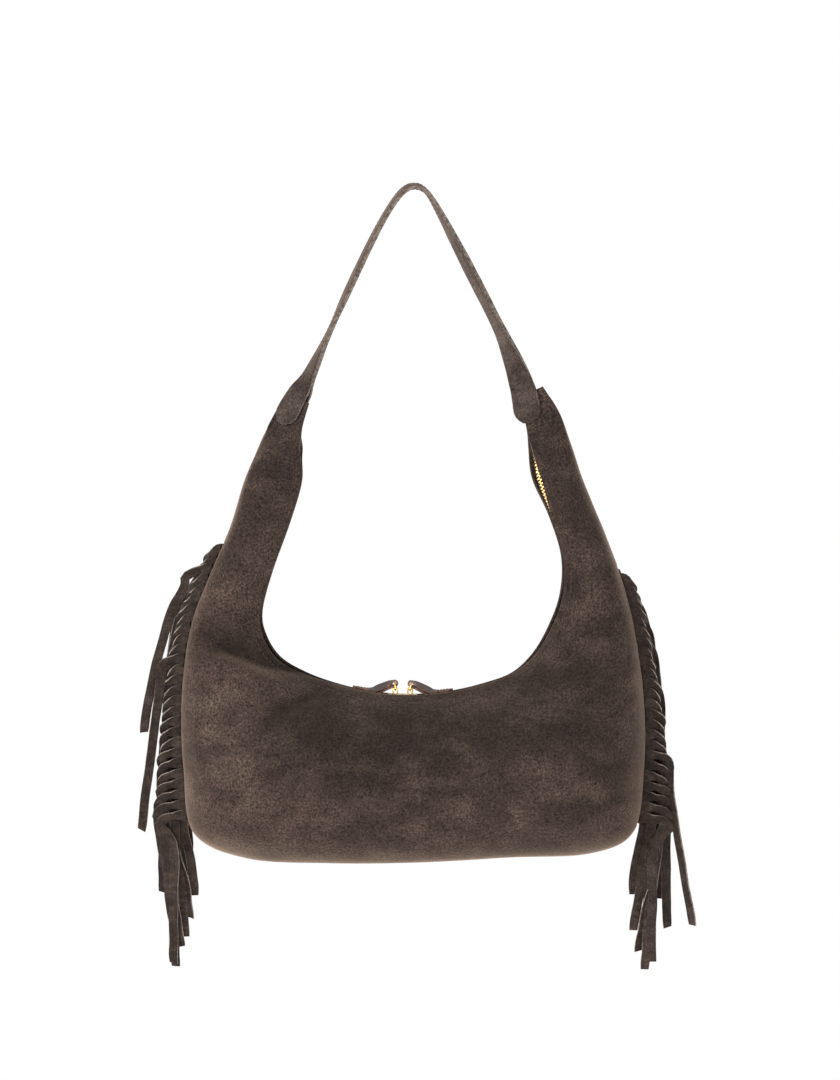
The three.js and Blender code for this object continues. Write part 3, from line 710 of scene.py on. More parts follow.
def add_block(bm: bmesh.types.BMesh, size: Vector, frame: Matrix, rounding: float, segments: int) -> None:
    """Makes a block with rounded edges, in an empty bmesh.

    Args:
        bm: The bmesh.
        size: Length along X, Y and Z, in millimetres.
        frame: Where the block's middle and axes are.
        rounding: Rounding of its edges, in millimetres.
        segments: Steps of the rounding.
    """
    bmesh.ops.create_cube(bm, size=1.0, matrix=frame @ Matrix.Diagonal((*size, 1)))
    bmesh.ops.bevel(
        bm, geom=bm.edges[:], offset=rounding, segments=segments, profile=0.5, affect="EDGES", material=-1
    )


def filler_piece(name: str, columns: int, place: Place, finish: Finish) -> bpy.types.Object:
    """Closed piece whose outline, round v, is swept along u.

    Args:
        name: Name of the piece.
        columns: Faces along u.
        place: Function that gives the point at u, v.
        finish: Its finish.

    Returns:
        The new object.
    """
    bm = bmesh.new()
    add_grid(bm, columns, 40, place)
    bmesh.ops.remove_doubles(bm, verts=bm.verts, dist=0.01)
    bmesh.ops.holes_fill(bm, edges=bm.edges, sides=0)
    bmesh.ops.recalc_face_normals(bm, faces=bm.faces)
    return mesh_piece(bm, name, [finish], smooth_faces=False)


def add_stitch(bm: bmesh.types.BMesh, start: Vector, end: Vector, radius: float) -> None:
    """Adds one stitch as a stretched bead between two points, in millimetres."""
    along = end - start
    turn = Vector((1, 0, 0)).rotation_difference(along.normalized()).to_matrix().to_4x4()
    size = Matrix.Diagonal((along.length / 2 + radius / 2, radius, radius, 1))
    bmesh.ops.create_icosphere(
        bm, subdivisions=1, radius=1.0, matrix=Matrix.Translation((start + end) / 2) @ turn @ size
    )


def add_stitch_line(bm: bmesh.types.BMesh, line: Sequence[Vector], pitch: float, radius: float) -> None:
    """Adds a row of stitches along a line.

    Args:
        bm: The bmesh to add to.
        line: Dense points along the seam, in millimetres.
        pitch: From one stitch to the next.
        radius: Half of the thread's thickness.
    """
    walked = 0.0
    start = None
    for before, after in zip(line, line[1:]):
        step = (after - before).length
        if step == 0:
            continue
        phase = walked % pitch
        if start is None and phase < pitch * 0.3:
            start = before
        if start is not None and phase > pitch * 0.72:
            add_stitch(bm, start, before, radius)
            start = None
        walked += step


def tube_piece(name: str, line: Sequence[Vector], radius: float, finish: Finish, cyclic: bool = False):
    """Round wire or welt along points in millimetres.

    Args:
        name: Name of the piece.
        line: The points of its middle.
        radius: In millimetres.
        finish: Its finish.
        cyclic: Whether it closes on itself.

    Returns:
        The curve object.
    """
    curve = bpy.data.curves.new(name, "CURVE")
    curve.dimensions = "3D"
    curve.bevel_depth = radius * MM
    curve.bevel_resolution = 3
    curve.use_fill_caps = not cyclic
    spline = curve.splines.new("POLY")
    spline.points.add(len(line) - 1)
    for point, place in zip(spline.points, line):
        point.co = (*(place * MM), 1.0)
    spline.use_cyclic_u = cyclic
    spline.use_smooth = True
    curve.materials.append(finish.material())
    return bpy.data.objects.new(name, curve)


# ---- the crescent


@dataclass(frozen=True)
class Section:
    """One cross-section of the crescent between its inner and outer edge."""

    inner: Vector
    outer: Vector
    turn: float
    sag: float
    filled: float
    parted: float
    spread: float

    @property
    def width(self) -> float:
        """Distance from the inner to the outer edge."""
        return (self.outer - self.inner).length

    @property
    def recess(self) -> float:
        """Distance from the inner edge to the middle of the zipper's teeth."""
        return ZIP_RECESS + max(self.sag, 0.0)

    def point(self, n: float, y: float) -> Vector:
        """World point at n from the inner edge and y from the middle plane."""
        half = self.width / 2
        cos, sin = math.cos(self.turn), math.sin(self.turn)
        across = (self.outer - self.inner).normalized()
        place = self.inner + across * (half + (n - half) * cos - y * sin)
        place.y = (n - half) * sin + y * cos
        return place


@dataclass
class Crescent:
    """The form that every sewn piece of the bag follows."""

    arc_radius: float = 178.0
    arc_centre: Vector = field(default_factory=lambda: Vector((-2.5, 0, -176)))
    arc_from: float = -18.0
    arc_to: float = 23.5
    tip_thickness: float = 0.8
    tip_flat: float = 22.0
    tip_ramp: float = 45.0
    spread_ramp: float = 18.0
    edge_spread: float = 8.4
    front_fullness: float = 0.33
    back_fullness: float = 0.31
    crest: float = 0.5
    zip_start: float = 1.9
    left_fringe: tuple[float, float] = (4.4, 9.85)
    right_fringe: tuple[float, float] = (16.15, 20.4)

    def __post_init__(self) -> None:
        """Works out the outline and the lengths along it."""
        bottom = []
        for i, outer in enumerate(BOTTOM_OUTLINE):
            angle = math.radians(mix(self.arc_from, self.arc_to, i / (len(BOTTOM_OUTLINE) - 1)))
            x = self.arc_centre.x + self.arc_radius * math.sin(angle)
            z = self.arc_centre.z - self.arc_radius * math.cos(angle)
            bottom.append((x, z, *outer, 0, 0))
        self.rows = (*LEFT_OUTLINE, *bottom, *RIGHT_OUTLINE)
        self.last = len(self.rows) - 1
        self.lengths = [0.0]
        for a, b in zip(self.rows, self.rows[1:]):
            self.lengths.append(self.lengths[-1] + math.hypot(b[0] - a[0], b[1] - a[1]))
        self._zip: list[tuple[float, float]] = []

    def section(self, place: float) -> Section:
        """The cross-section at a place, counted in outline points from the left arm's tip."""
        place = min(max(place, 0.0), float(self.last))
        ix, iz, ox, oz, turn, sag = smooth_row(self.rows, place)
        cell = min(int(place), self.last - 1)
        along = mix(self.lengths[cell], self.lengths[cell + 1], place - cell)
        from_tip = min(along, self.lengths[-1] - along) - self.tip_flat
        parted = smooth(from_tip / self.spread_ramp)
        return Section(
            Vector((ix, 0, iz)),
            Vector((ox, 0, oz)),
            math.radians(turn),
            sag,
            smooth(from_tip / self.tip_ramp),
            parted,
            mix(self.tip_thickness, self.edge_spread, parted),
        )

    def height(self, section: Section, side: Side, t: float) -> float:
        """How far a panel stands from the middle plane at a share t of the section's width."""
        fullness = self.front_fullness if side is Side.FRONT else self.back_fullness
        bulge = max(mix(self.tip_thickness, fullness * section.width, section.filled), section.spread)
        if t <= self.crest:
            return mix(section.spread, bulge, math.sin(math.pi / 2 * t / self.crest) ** 0.85)
        round_off = max(1 - ((t - self.crest) / (1 - self.crest)) ** 2.4, 0) ** 0.55
        return bulge * mix(1, round_off, max(section.parted, smooth((t - 0.9) / 0.1)))

    def zip_places(self) -> list[tuple[float, float]]:
        """Length and place pairs along the zipper line."""
        if not self._zip:
            place, length = self.zip_start, 0.0
            previous = self.section(place).point(self.section(place).recess, 0)
            while place <= self.last - self.zip_start:
                section = self.section(place)
                point = section.point(section.recess, 0)
                length += (point - previous).length
                self._zip.append((length, place))
                previous = point
                place += 0.02
        return self._zip

    def zip_place(self, length: float) -> float:
        """Place at a length along the zipper line."""
        line = self.zip_places()
        low, high = 0, len(line) - 1
        while high - low > 1:
            middle = (low + high) // 2
            low, high = (middle, high) if line[middle][0] < length else (low, middle)
        (l0, p0), (l1, p1) = line[low], line[high]
        return mix(p0, p1, (length - l0) / (l1 - l0))

    def seam_points(self, span: tuple[float, float], pitch: float) -> list[Vector]:
        """Points along the outer seam at even distances, for the fringe's strips."""
        line: list[tuple[Vector, float]] = []
        place = span[0]
        while place <= span[1]:
            section = self.section(place)
            point = section.point(section.width, 0)
            length = line[-1][1] + (point - line[-1][0]).length if line else 0.0
            line.append((point, length))
            place += 0.01
        count = int(line[-1][1] / pitch)
        return [next(point for point, length in line if length >= (i + 0.5) * pitch) for i in range(count)]


CRESCENT = Crescent()


@dataclass(frozen=True)
class Crease:
    """A soft crease pressed into a panel, or a roll that stands out of it where depth is negative."""

    start: tuple[float, float]
    middle: tuple[float, float]
    end: tuple[float, float]
    depth: float
    width: float

    def at(self, x: float, z: float) -> float:
        """Depth of the crease at a point of the panel, in millimetres."""
        best, along = 1e9, 0.0
        legs = ((self.start, self.middle, 0.0), (self.middle, self.end, 0.5))
        for (x0, z0), (x1, z1), base in legs:
            dx, dz = x1 - x0, z1 - z0
            t = min(max(((x - x0) * dx + (z - z0) * dz) / (dx * dx + dz * dz), 0), 1)
            distance = math.hypot(x - x0 - t * dx, z - z0 - t * dz)
            if distance < best:
                best, along = distance, base + t / 2
        ends = smooth(along * 4) * smooth((1 - along) * 3)
        return self.depth * ends * math.exp(-((best / self.width) ** 2))


@dataclass
class BagBody:
    """The two suede panels with their seams, creases and stitching, and the lining inside them."""

    wall: float = 1.8
    columns: int = 230
    rows: int = 44
    stitch_from_edge: float = 5.6
    stitch_pitch: float = 3.6
    thread: float = 0.3
    header_split: float = 1.08
    fold_depth: float = 9.0
    fold_width: float = 7.0
    fold_start: tuple[float, float] = (-160.0, -317.0)
    fold_run: tuple[float, float] = (99.0, -26.0)
    stitch_samples: int = 4200
    lining_ends: float = 3.2
    lining_inset: float = 4.2
    front_creases: tuple[Crease, ...] = (
        Crease((-142, -319), (-106, -332), (-66, -343), 3.8, 2.4),
        Crease((-146, -329), (-112, -339), (-70, -350), -1.6, 6.0),
        Crease((-112, -376), (-84, -362), (-56, -349), 2.0, 3.4),
        Crease((-124, -392), (-104, -380), (-86, -372), 0.7, 4.0),
        Crease((96, -318), (72, -338), (44, -360), 1.2, 4.5),
        Crease((112, -334), (90, -352), (62, -368), -0.8, 6.0),
        Crease((132, -290), (118, -316), (98, -336), 0.9, 5.0),
        Crease((-40, -362), (-16, -376), (6, -384), 0.7, 5.0),
        Crease((20, -372), (44, -384), (70, -386), 0.6, 6.0),
        Crease((-102, -172), (-108, -186), (-117, -196), 1.6, 2.6),
        Crease((-128, -452), (-112, -436), (-104, -420), 0.8, 5.0),
        Crease((136, -448), (122, -434), (112, -416), 0.8, 5.0),
    )
    back_creases: tuple[Crease, ...] = (
        Crease((-140, -325), (-108, -334), (-70, -344), 1.8, 4.0),
        Crease((130, -318), (100, -332), (66, -346), 1.8, 4.0),
        Crease((-60, -380), (-20, -392), (24, -388), 0.8, 6.0),
        Crease((-118, -440), (-98, -424), (-90, -402), 0.8, 6.0),
    )

    def fold(self, x: float, z: float) -> float:
        """Depth of the large fold where the left arm sinks into the front panel."""
        along = (x - self.fold_start[0]) / self.fold_run[0]
        line = self.fold_start[1] + self.fold_run[1] * smooth(along)
        ends = smooth(along * 5) * smooth((1 - along) * 5)
        narrow = mix(self.fold_width, self.fold_width * 0.55, smooth(along))
        above = 1.9 if z > line else 1.0
        valley = math.exp(-(((z - line) / (narrow * above)) ** 2))
        roll = math.exp(-(((z - line - 24) / 10) ** 2))
        lip = math.exp(-(((z - line + 9) / 5) ** 2))
        return ends * (self.fold_depth * valley - 2.4 * roll - 1.6 * lip)

    def relief(self, side: Side, section: Section, n: float, t: float, along: float) -> float:
        """How far the surface stands in from the plain form, in millimetres.

        Args:
            side: The panel.
            section: The cross-section.
            n: Distance from the inner edge.
            t: The same as a share of the section's width.
            along: Length along the inner edge.

        Returns:
            The depth, which is negative where the surface stands out.
        """
        flat = section.point(n, 0)
        creases = self.front_creases if side is Side.FRONT else self.back_creases
        depth = sum(crease.at(flat.x, flat.z) for crease in creases)
        if side is Side.FRONT:
            depth += self.fold(flat.x, flat.z) * smooth((n - 7) / 10)
        soft = section.parted * smooth(n / 12) * smooth((1 - t) * 6)
        seed = Vector((0, 11.0 * side.value, 0))
        depth += soft * 1.5 * noise.noise(Vector((flat.x / 34, 0, flat.z / 27)) + seed)
        depth += soft * 0.45 * noise.noise(Vector((flat.x / 13, 5, flat.z / 12)) + seed)
        pucker = 0.5 + 0.5 * math.cos(along * 2 * math.pi / (2 * self.stitch_pitch))
        depth += (0.3 + 0.12 * pucker) * math.exp(-(((n - self.stitch_from_edge) / 1.0) ** 2))
        from_seam = section.width - n
        gather = noise.noise(Vector((along / 7, 3.0 * side.value, 0)))
        depth += section.parted * 0.7 * gather * math.exp(-((from_seam / 9) ** 2)) * smooth(from_seam / 2)
        return depth

    def skin(self, side: Side, u: float, t: float, inset: float = 0.0) -> Vector:
        """Point of a panel's outside, or of a layer inside it.

        Args:
            side: The panel.
            u: Share of the way along the crescent.
            t: Share of the way across it, from the inner edge.
            inset: How far inside the skin, in millimetres.

        Returns:
            The world point in millimetres.
        """
        place = u * CRESCENT.last
        section = CRESCENT.section(place)
        held = any(a - 0.6 < place < b + 0.6 for a, b in (CRESCENT.left_fringe, CRESCENT.right_fringe))
        seam = self.header_split if held else 0.25
        sag = section.sag * (1 - t) ** 2 if side is Side.FRONT else 0.0
        n = sag + t * section.width
        y = max(CRESCENT.height(section, side, t), seam)
        along = CRESCENT.lengths[min(int(place), CRESCENT.last - 1)] + (place % 1) * 20
        y = max(y - self.relief(side, section, n, t, along) - inset, seam)
        n = min(n, section.width - inset * 1.6)
        return section.point(n, side.value * y)

    def nap(self, side: Side, section: Section, t: float, point: Vector) -> float:
        """Painted light and shade of a panel at a point, from 0 to 1, with some random mottling.

        Args:
            side: The panel.
            section: The cross-section.
            t: Share of the section's width.
            point: The point of the skin, in millimetres.

        Returns:
            The painted light and shade with the mottling, where 0.5 leaves the hide's own colour.
        """
        creases = self.front_creases if side is Side.FRONT else self.back_creases
        tone = 0.4
        # Painted light: lighter towards the panel's left end, as seen from its own side, and lower down.
        tone += 0.2 * smooth((-70 - side.value * -point.x) / 80) * smooth((-250 - point.z) / 120)
        # Painted shade: a darker band just under the middle of the zipper.
        tone -= 0.2 * math.exp(-(((point.z + 372) / 34) ** 2)) * smooth((150 - abs(point.x)) / 70)
        # Painted highlight: lighter towards the outer seam, where the panel turns away.
        tone += 0.3 * section.parted * smooth((t - 0.84) / 0.16)
        # Random mottling of the hide's colour.
        tone += 0.07 * noise.noise(Vector((point.x / 46, 31.0 * side.value, point.z / 30)))
        # Painted shade just above each crease, and painted light just above each roll.
        tone -= 0.07 * sum(crease.at(point.x, point.z - 2) for crease in creases)
        # Painted shade just above the large fold.
        if side is Side.FRONT:
            tone -= 0.05 * max(self.fold(point.x, point.z - 4), 0)
        return min(max(tone, 0.0), 1.0)

    def share(self, v: float) -> float:
        """Share across the section for row v, with rows closer together at both edges."""
        return mix(v, 0.5 - 0.5 * math.cos(math.pi * v), 0.72)

    def make_panel(self, side: Side) -> None:
        """Builds one suede panel, with painted light and shade in a vertex attribute, and its topstitching.
        """
        word = side.word
        bm = bmesh.new()
        layer = bm.verts.layers.float.new("tone")
        shades_and_mottles: dict[tuple[float, float, float], float] = {}

        def place(u: float, v: float) -> Vector:
            """Point of the panel, with its painted light and shade noted."""
            t = self.share(v)
            point = self.skin(side, u, t)
            shades_and_mottles[point.to_tuple(5)] = self.nap(side, CRESCENT.section(u * CRESCENT.last), t, point)
            return point

        for vert in add_grid(bm, self.columns, self.rows, place, Vector((0, side.value, 0))):
            vert[layer] = shades_and_mottles[vert.co.to_tuple(5)]
        panel = mesh_piece(bm, f"{word}_panel_suede", [SUEDE])
        thicken(panel, self.wall, -1, bevel=0.5)
        put_in_scene(panel, "bag", Slot.SUEDE, [f"{word}_panel"])
        stitches = bmesh.new()
        line = []
        for i in range(self.stitch_samples):
            place = mix(1.7, CRESCENT.last - 1.7, i / (self.stitch_samples - 1))
            section = CRESCENT.section(place)
            t = self.stitch_from_edge / section.width
            line.append(self.skin(side, place / CRESCENT.last, t) + Vector((0, side.value * 0.12, 0)))
        add_stitch_line(stitches, line, self.stitch_pitch, self.thread)
        put_in_scene(mesh_piece(stitches, f"{word}_topstitching", [THREAD]), "bag", Slot.SUEDE)

    def make_lining(self, side: Side) -> None:
        """Builds one side of the cotton lining, which hangs loosely inside its panel."""
        word = side.word

        def place(u: float, v: float) -> Vector:
            """Point of the lining."""
            where = mix(self.lining_ends, CRESCENT.last - self.lining_ends, u)
            section = CRESCENT.section(where)
            t = mix((11.5 + section.sag) / section.width, 1 - 9 / section.width, v)
            point = self.skin(side, where / CRESCENT.last, t, inset=self.lining_inset)
            ripple = noise.noise(Vector((point.x / 9, 7.0 * side.value, point.z / 22)))
            point.y -= side.value * (0.5 + 0.5 * ripple)
            return point

        bm = bmesh.new()
        add_grid(bm, 130, 16, place, Vector((0, side.value, 0)))
        lining = mesh_piece(bm, f"{word}_lining_cotton", [LINING_COTTON])
        thicken(lining, 0.5, -1)
        put_in_scene(lining, "bag", Slot.LINING, [f"{word}_lining"])

    def make_seam_edges(self) -> None:
        """Builds the raw edges that show in the outer seam where it holds no fringe."""
        spans = {"left_arm": (0.4, 4.35), "bottom": (9.9, 16.1), "right_arm": (20.45, 24.6)}
        for word, (start, end) in spans.items():
            line = []
            for i in range(240):
                section = CRESCENT.section(mix(start, end, i / 239))
                line.append(section.point(section.width - 0.25, 0))
            put_in_scene(tube_piece(f"seam_edge_{word}", line, 0.5, SEAM_EDGE), "bag", Slot.SUEDE)

    def build(self) -> None:
        """Builds the body."""
        for side in Side:
            self.make_panel(side)
            self.make_lining(side)
        self.make_seam_edges()


@dataclass
class Fringe:
    """The cut fringe of one end: strips that leave the seam, fold over and hang behind each other."""

    hand: Hand
    loose: dict[int, tuple[float, float, float, float]]
    pitch: float = 7.35
    strip_width: float = 6.4
    thickness: float = 1.2
    length: float = 128.0
    header_outside: float = 1.5
    header_inside: float = 5.0
    lanes: tuple[float, ...] = (0, -6.8, -13.6)
    upper_lanes: tuple[float, ...] = (-3.1, 3.7)
    clear_of_side: float = 5.2
    front_depth: float = 5.2
    stack_step: float = 1.5
    pass_step: float = 1.0
    fan: float = 24.0
    lean: float = 50.0
    rows: int = 46
    loose_length: float = 1.06
    loose_wave: float = 0.35

    def shapes(self, count: int) -> list[dict[str, float]]:
        """How each strip hangs, from the top one down."""
        out: list[dict[str, float]] = []
        for i in range(count):
            reach = 6.4 + 12.6 * (i / (count - 1)) ** 1.4 + 1.3 * vary(i, 1)
            lane = self.upper_lanes[i % 2] if i < 0.45 * count else self.lanes[i % 3]
            hang = max(reach + lane, self.clear_of_side) + 0.4 * vary(i, 2)
            out.append(
                {"reach": reach - 1.5, "hang": hang, "depth": self.front_depth, "drift": 2.5 * vary(i, 3) - 2,
                 "turn": 0.45 * vary(i, 4)}
            )
        for i in range(count - 1, -1, -1):
            if i in self.loose:
                hang, depth, drift, turn = self.loose[i]
                out[i] = {"reach": hang, "hang": hang, "depth": depth, "drift": drift, "turn": turn}
                continue
            below = i + 1
            while below < min(count, i + self.length / self.pitch):
                if below not in self.loose:
                    beside = abs(out[i]["hang"] - out[below]["hang"]) > self.strip_width
                    step = self.pass_step if beside else self.stack_step
                    out[i]["depth"] = max(out[i]["depth"], out[below]["depth"] + step)
                below += 1
        return out

    def route(self, root: Vector, shape: dict[str, float], roots: Sequence[Vector]) -> list[Vector]:
        """Control points of a strip's middle line."""
        out = self.hand.value
        reach, hang, depth, drift = (shape[key] for key in ("reach", "hang", "depth", "drift"))

        def side_out(z: float) -> float:
            """How far out the seam has come at a height, or above it."""
            return max(out * point.x if point.z >= z - self.pitch else 0.0 for point in roots)

        def at(outwards: float, y: float, down: float) -> Vector:
            """Point outwards, back and down from the root, kept clear of the bag's side."""
            side = max(side_out(root.z - down) - out * root.x, 0) * min(down / self.pitch, 1)
            return root + Vector((out * (outwards + side), y, -down))

        return [
            at(-self.header_outside, 0, 0),
            at(1, 0, 0.1),
            at(0.55 * reach, 0, 0.8),
            at(0.88 * reach, 0.3, 3),
            at(reach, 0.3 * depth, 7.2),
            at(mix(reach, hang, 0.35), 0.78 * depth, 11.5),
            at(mix(reach, hang, 0.8), 0.95 * depth, 18),
            at(hang + 0.05 * drift, depth, 28),
            at(hang + 0.24 * drift, depth, 52),
            at(hang + 0.52 * drift, depth, 85),
            at(hang + drift, depth, self.length + 15),
        ]

    @staticmethod
    def smooth_line(points: Sequence[Vector], steps: int = 24) -> list[Vector]:
        """Centripetal line through points.

        Args:
            points: The points it passes through.
            steps: Pieces between two of them.

        Returns:
            Dense points along the line.
        """
        ends = [points[0] * 2 - points[1], *points, points[-1] * 2 - points[-2]]
        out = []
        for p0, p1, p2, p3 in zip(ends, ends[1:], ends[2:], ends[3:]):
            d0, d1, d2 = ((b - a).length ** 0.5 for a, b in ((p0, p1), (p1, p2), (p2, p3)))
            t1 = ((p1 - p0) / d0 - (p2 - p0) / (d0 + d1) + (p2 - p1) / d1) * d1
            t2 = ((p2 - p1) / d1 - (p3 - p1) / (d1 + d2) + (p3 - p2) / d2) * d1
            out.extend(hermite(p1, p2, t1, t2, i / steps) for i in range(steps))
        out.append(points[-1].copy())
        return out

    def add_strip(
        self, bm: bmesh.types.BMesh, index: int, count: int, line: Sequence[Vector], shape: dict[str, float]
    ) -> None:
        """Adds one strip of suede to the fringe.

        Args:
            bm: The fringe's bmesh.
            index: Number of the strip, from the top.
            count: How many strips this fringe has.
            line: Dense points along its middle.
            shape: How it hangs.
        """
        lengths = [0.0]
        for a, b in zip(line, line[1:]):
            lengths.append(lengths[-1] + (b - a).length)
        is_loose = index in self.loose
        total = self.length * (self.loose_length if is_loose else 1 + 0.05 * vary(index, 7))
        waviness = self.loose_wave if is_loose else 1.0
        front = Vector((0, -1, 0))
        out = self.hand.value

        def on_line(distance: float) -> tuple[Vector, Vector]:
            """Point and direction at a distance along the line."""
            cell = 0
            while cell < len(lengths) - 2 and lengths[cell + 1] < distance:
                cell += 1
            t = (distance - lengths[cell]) / max(lengths[cell + 1] - lengths[cell], 1e-6)
            return line[cell].lerp(line[cell + 1], min(t, 1)), (line[cell + 1] - line[cell]).normalized()

        def place(u: float, v: float) -> Vector:
            """Point of the strip at u across and v along it."""
            distance = 1 + v**1.25 * (total - 1)
            centre, tangent = on_line(distance)
            leaning = smooth((distance - 6) / 5) * (1 - smooth((distance - 9) / 13))
            free = smooth((distance - 20) / 30)
            wave = waviness * noise.noise(Vector((distance / 23, index * 3.7, out)))
            angle = math.radians(self.lean) * leaning + (shape["turn"] + 0.5 * wave) * free
            upper = tangent.cross(front) * -out
            upper.normalize()
            width = upper * math.cos(angle) + front * math.sin(angle)
            width = (width - tangent * width.dot(tangent)).normalized()
            normal = tangent.cross(width).normalized()
            end = smooth((distance - total + 5) / 5)
            rooted = 1 - smooth((distance - 3.5) / 4)
            base = mix(self.strip_width, self.pitch - 0.1, rooted)
            uneven = 0.05 * noise.noise(Vector((distance / 9, index, 2))) * (1 - rooted)
            half = base / 2 * (1 + uneven) * (1 - 0.12 * end)
            across = (u * 2 - 1) * half
            cup = 0.35 * free * vary(index, 9) * ((u * 2 - 1) ** 2 - 0.5)
            slant = (u - 0.5) * 2.4 * vary(index, 11) * end
            bent = free * smooth(distance / total)
            low = smooth((index / count - 0.42) / 0.34)
            spread = 0.0 if is_loose else self.fan * low * (index * 0.618 % 1 - 0.2)
            fan = spread * bent**1.7 + 2 * wave * bent
            sway = Vector((-out * fan, 1.2 * wave * bent, 0))
            return centre + sway + width * across + normal * cup + tangent * slant

        layer = bm.verts.layers.float["tone"]
        for vert in add_grid(bm, 4, self.rows, place):
            vert[layer] = 0.48 + 0.22 * vary(index, 13)

    def build(self) -> None:
        """Builds the fringe of this end."""
        span = CRESCENT.left_fringe if self.hand is Hand.LEFT else CRESCENT.right_fringe
        roots = sorted(CRESCENT.seam_points(span, self.pitch), key=lambda point: -point.z)
        shapes = self.shapes(len(roots))
        bm = bmesh.new()
        layer = bm.verts.layers.float.new("tone")
        for i, root in enumerate(roots):
            line = self.smooth_line(self.route(root, shapes[i], roots))
            self.add_strip(bm, i, len(roots), line, shapes[i])

        def band(u: float, v: float) -> Vector:
            """Point of the band that the strips are cut from."""
            section = CRESCENT.section(mix(*span, u))
            return section.point(section.width + mix(-self.header_inside, self.header_outside, v), 0)

        for vert in add_grid(bm, 60, 2, band):
            vert[layer] = 0.5
        fringe = mesh_piece(bm, f"fringe_{self.hand.word}_strips", [STRIP_SUEDE, STRIP_EDGE])
        thicken(fringe, self.thickness, 0, rim_slot=1, bevel=0.12)
        put_in_scene(fringe, "bag", Slot.SUEDE, [f"fringe_{self.hand.word}"])


@dataclass
class Zipper:
    """The two woven tapes with their beaded cords, and the rows of brass teeth."""

    tape: float = 0.7
    tape_leg: float = 9.0
    wall: float = 1.8
    cord_at: float = 3.1
    cord_radius: float = 0.75
    pitch: float = 2.45
    tooth_width: float = 1.3
    tooth_height: float = 2.3
    tooth_inner: float = -0.9
    tooth_outer: float = 3.9
    stop_length: float = 5.0
    stop_half: float = 3.4
    tooth_rounding: float = 0.28
    stop_rounding: float = 0.5

    def frame(self, length: float, y: float) -> Matrix:
        """Matrix at a length along the zipper: X along it, Y back, Z out of the bag."""
        section = CRESCENT.section(CRESCENT.zip_place(length))
        ahead = CRESCENT.section(CRESCENT.zip_place(length + 1))
        recess = section.recess
        along = (ahead.point(ahead.recess, 0) - section.point(recess, 0)).normalized()
        back = section.point(recess, 1) - section.point(recess, 0)
        back = (back - along * back.dot(along)).normalized()
        up = along.cross(back)
        matrix = Matrix((along, back, up)).transposed().to_4x4()
        return Matrix.Translation(section.point(recess, y)) @ matrix

    def make_tape(self, side: Side) -> None:
        """Builds one tape and the cord along its edge."""
        word = side.word

        def place(u: float, v: float) -> Vector:
            """Point of the tape, from its cord out under the panel."""
            section = CRESCENT.section(mix(2.0, CRESCENT.last - 2.0, u))
            edge = section.sag if side is Side.FRONT else 0.0
            inner = section.spread - self.wall - 0.7
            recess = section.recess
            if v < 0.5:
                t = v / 0.5
                return section.point(recess, side.value * mix(self.cord_at, max(inner, self.cord_at), t))
            t = (v - 0.5) / 0.5
            n = mix(recess, self.tape_leg + edge, t)
            deep = CRESCENT.height(section, side, min(n / section.width, 0.5)) - 2.6 * self.wall
            point = section.point(n, side.value * max(mix(inner, deep, t), 0.5))
            if side is Side.FRONT:
                point.y += BODY.fold(point.x, point.z) * t
            return point

        bm = bmesh.new()
        add_grid(bm, 200, 8, place)
        tape = mesh_piece(bm, f"zipper_tape_{word}_woven", [ZIPPER_CLOTH])
        thicken(tape, self.tape, 0)
        put_in_scene(tape, "bag", Slot.TAPE, [f"zipper_tape_{word}"])
        total = CRESCENT.zip_places()[-1][0]
        line = [
            self.frame(mix(1, total - 1, i / 399), side.value * self.cord_at).translation for i in range(400)
        ]
        cord = tube_piece(f"zipper_cord_{word}", line, self.cord_radius, ZIPPER_CLOTH)
        put_in_scene(cord, "bag", Slot.TAPE)

    def tooth(self, side: Side) -> bpy.types.Mesh:
        """Mesh of one tooth, drawn about the middle plane."""
        bm = bmesh.new()
        size = Vector((self.tooth_width, self.tooth_outer - self.tooth_inner, self.tooth_height))
        middle = side.value * (self.tooth_outer + self.tooth_inner) / 2
        add_block(bm, size, Matrix.Translation((0, middle, 0)), self.tooth_rounding, 2)
        mesh = bpy.data.meshes.new("tooth")
        bm.to_mesh(mesh)
        bm.free()
        return mesh

    def make_teeth(self, side: Side) -> None:
        """Builds one row of teeth, half a pitch on from the other row."""
        word = side.word
        template = self.tooth(side)
        total = CRESCENT.zip_places()[-1][0]
        bm = bmesh.new()
        length = self.stop_length + 1 + (0 if side is Side.FRONT else self.pitch / 2)
        while length < total - self.stop_length - 1:
            start = len(bm.verts)
            bm.from_mesh(template)
            bm.verts.ensure_lookup_table()
            bmesh.ops.transform(bm, matrix=self.frame(length, 0), verts=bm.verts[start:])
            length += self.pitch
        bpy.data.meshes.remove(template)
        teeth = mesh_piece(bm, f"zipper_teeth_{word}_brass", [BRASS])
        put_in_scene(teeth, "bag", Slot.BRASS, [f"zipper_teeth_{word}"])

    def make_stop(self, hand: Hand) -> None:
        """Builds the crimped stop at one end of the teeth."""
        total = CRESCENT.zip_places()[-1][0]
        middle = self.stop_length / 2 if hand is Hand.LEFT else total - self.stop_length / 2
        bm = bmesh.new()
        size = Vector((self.stop_length * 0.8, 2 * self.stop_half, self.tooth_height))
        add_block(bm, size, self.frame(middle, 0), self.stop_rounding, 3)
        word = hand.word
        put_in_scene(
            mesh_piece(bm, f"zipper_stop_{word}_brass", [BRASS]), "bag", Slot.BRASS, [f"zipper_stop_{word}"]
        )

    def build(self) -> None:
        """Builds the zipper."""
        for side in Side:
            self.make_tape(side)
            self.make_teeth(side)
        for hand in Hand:
            self.make_stop(hand)


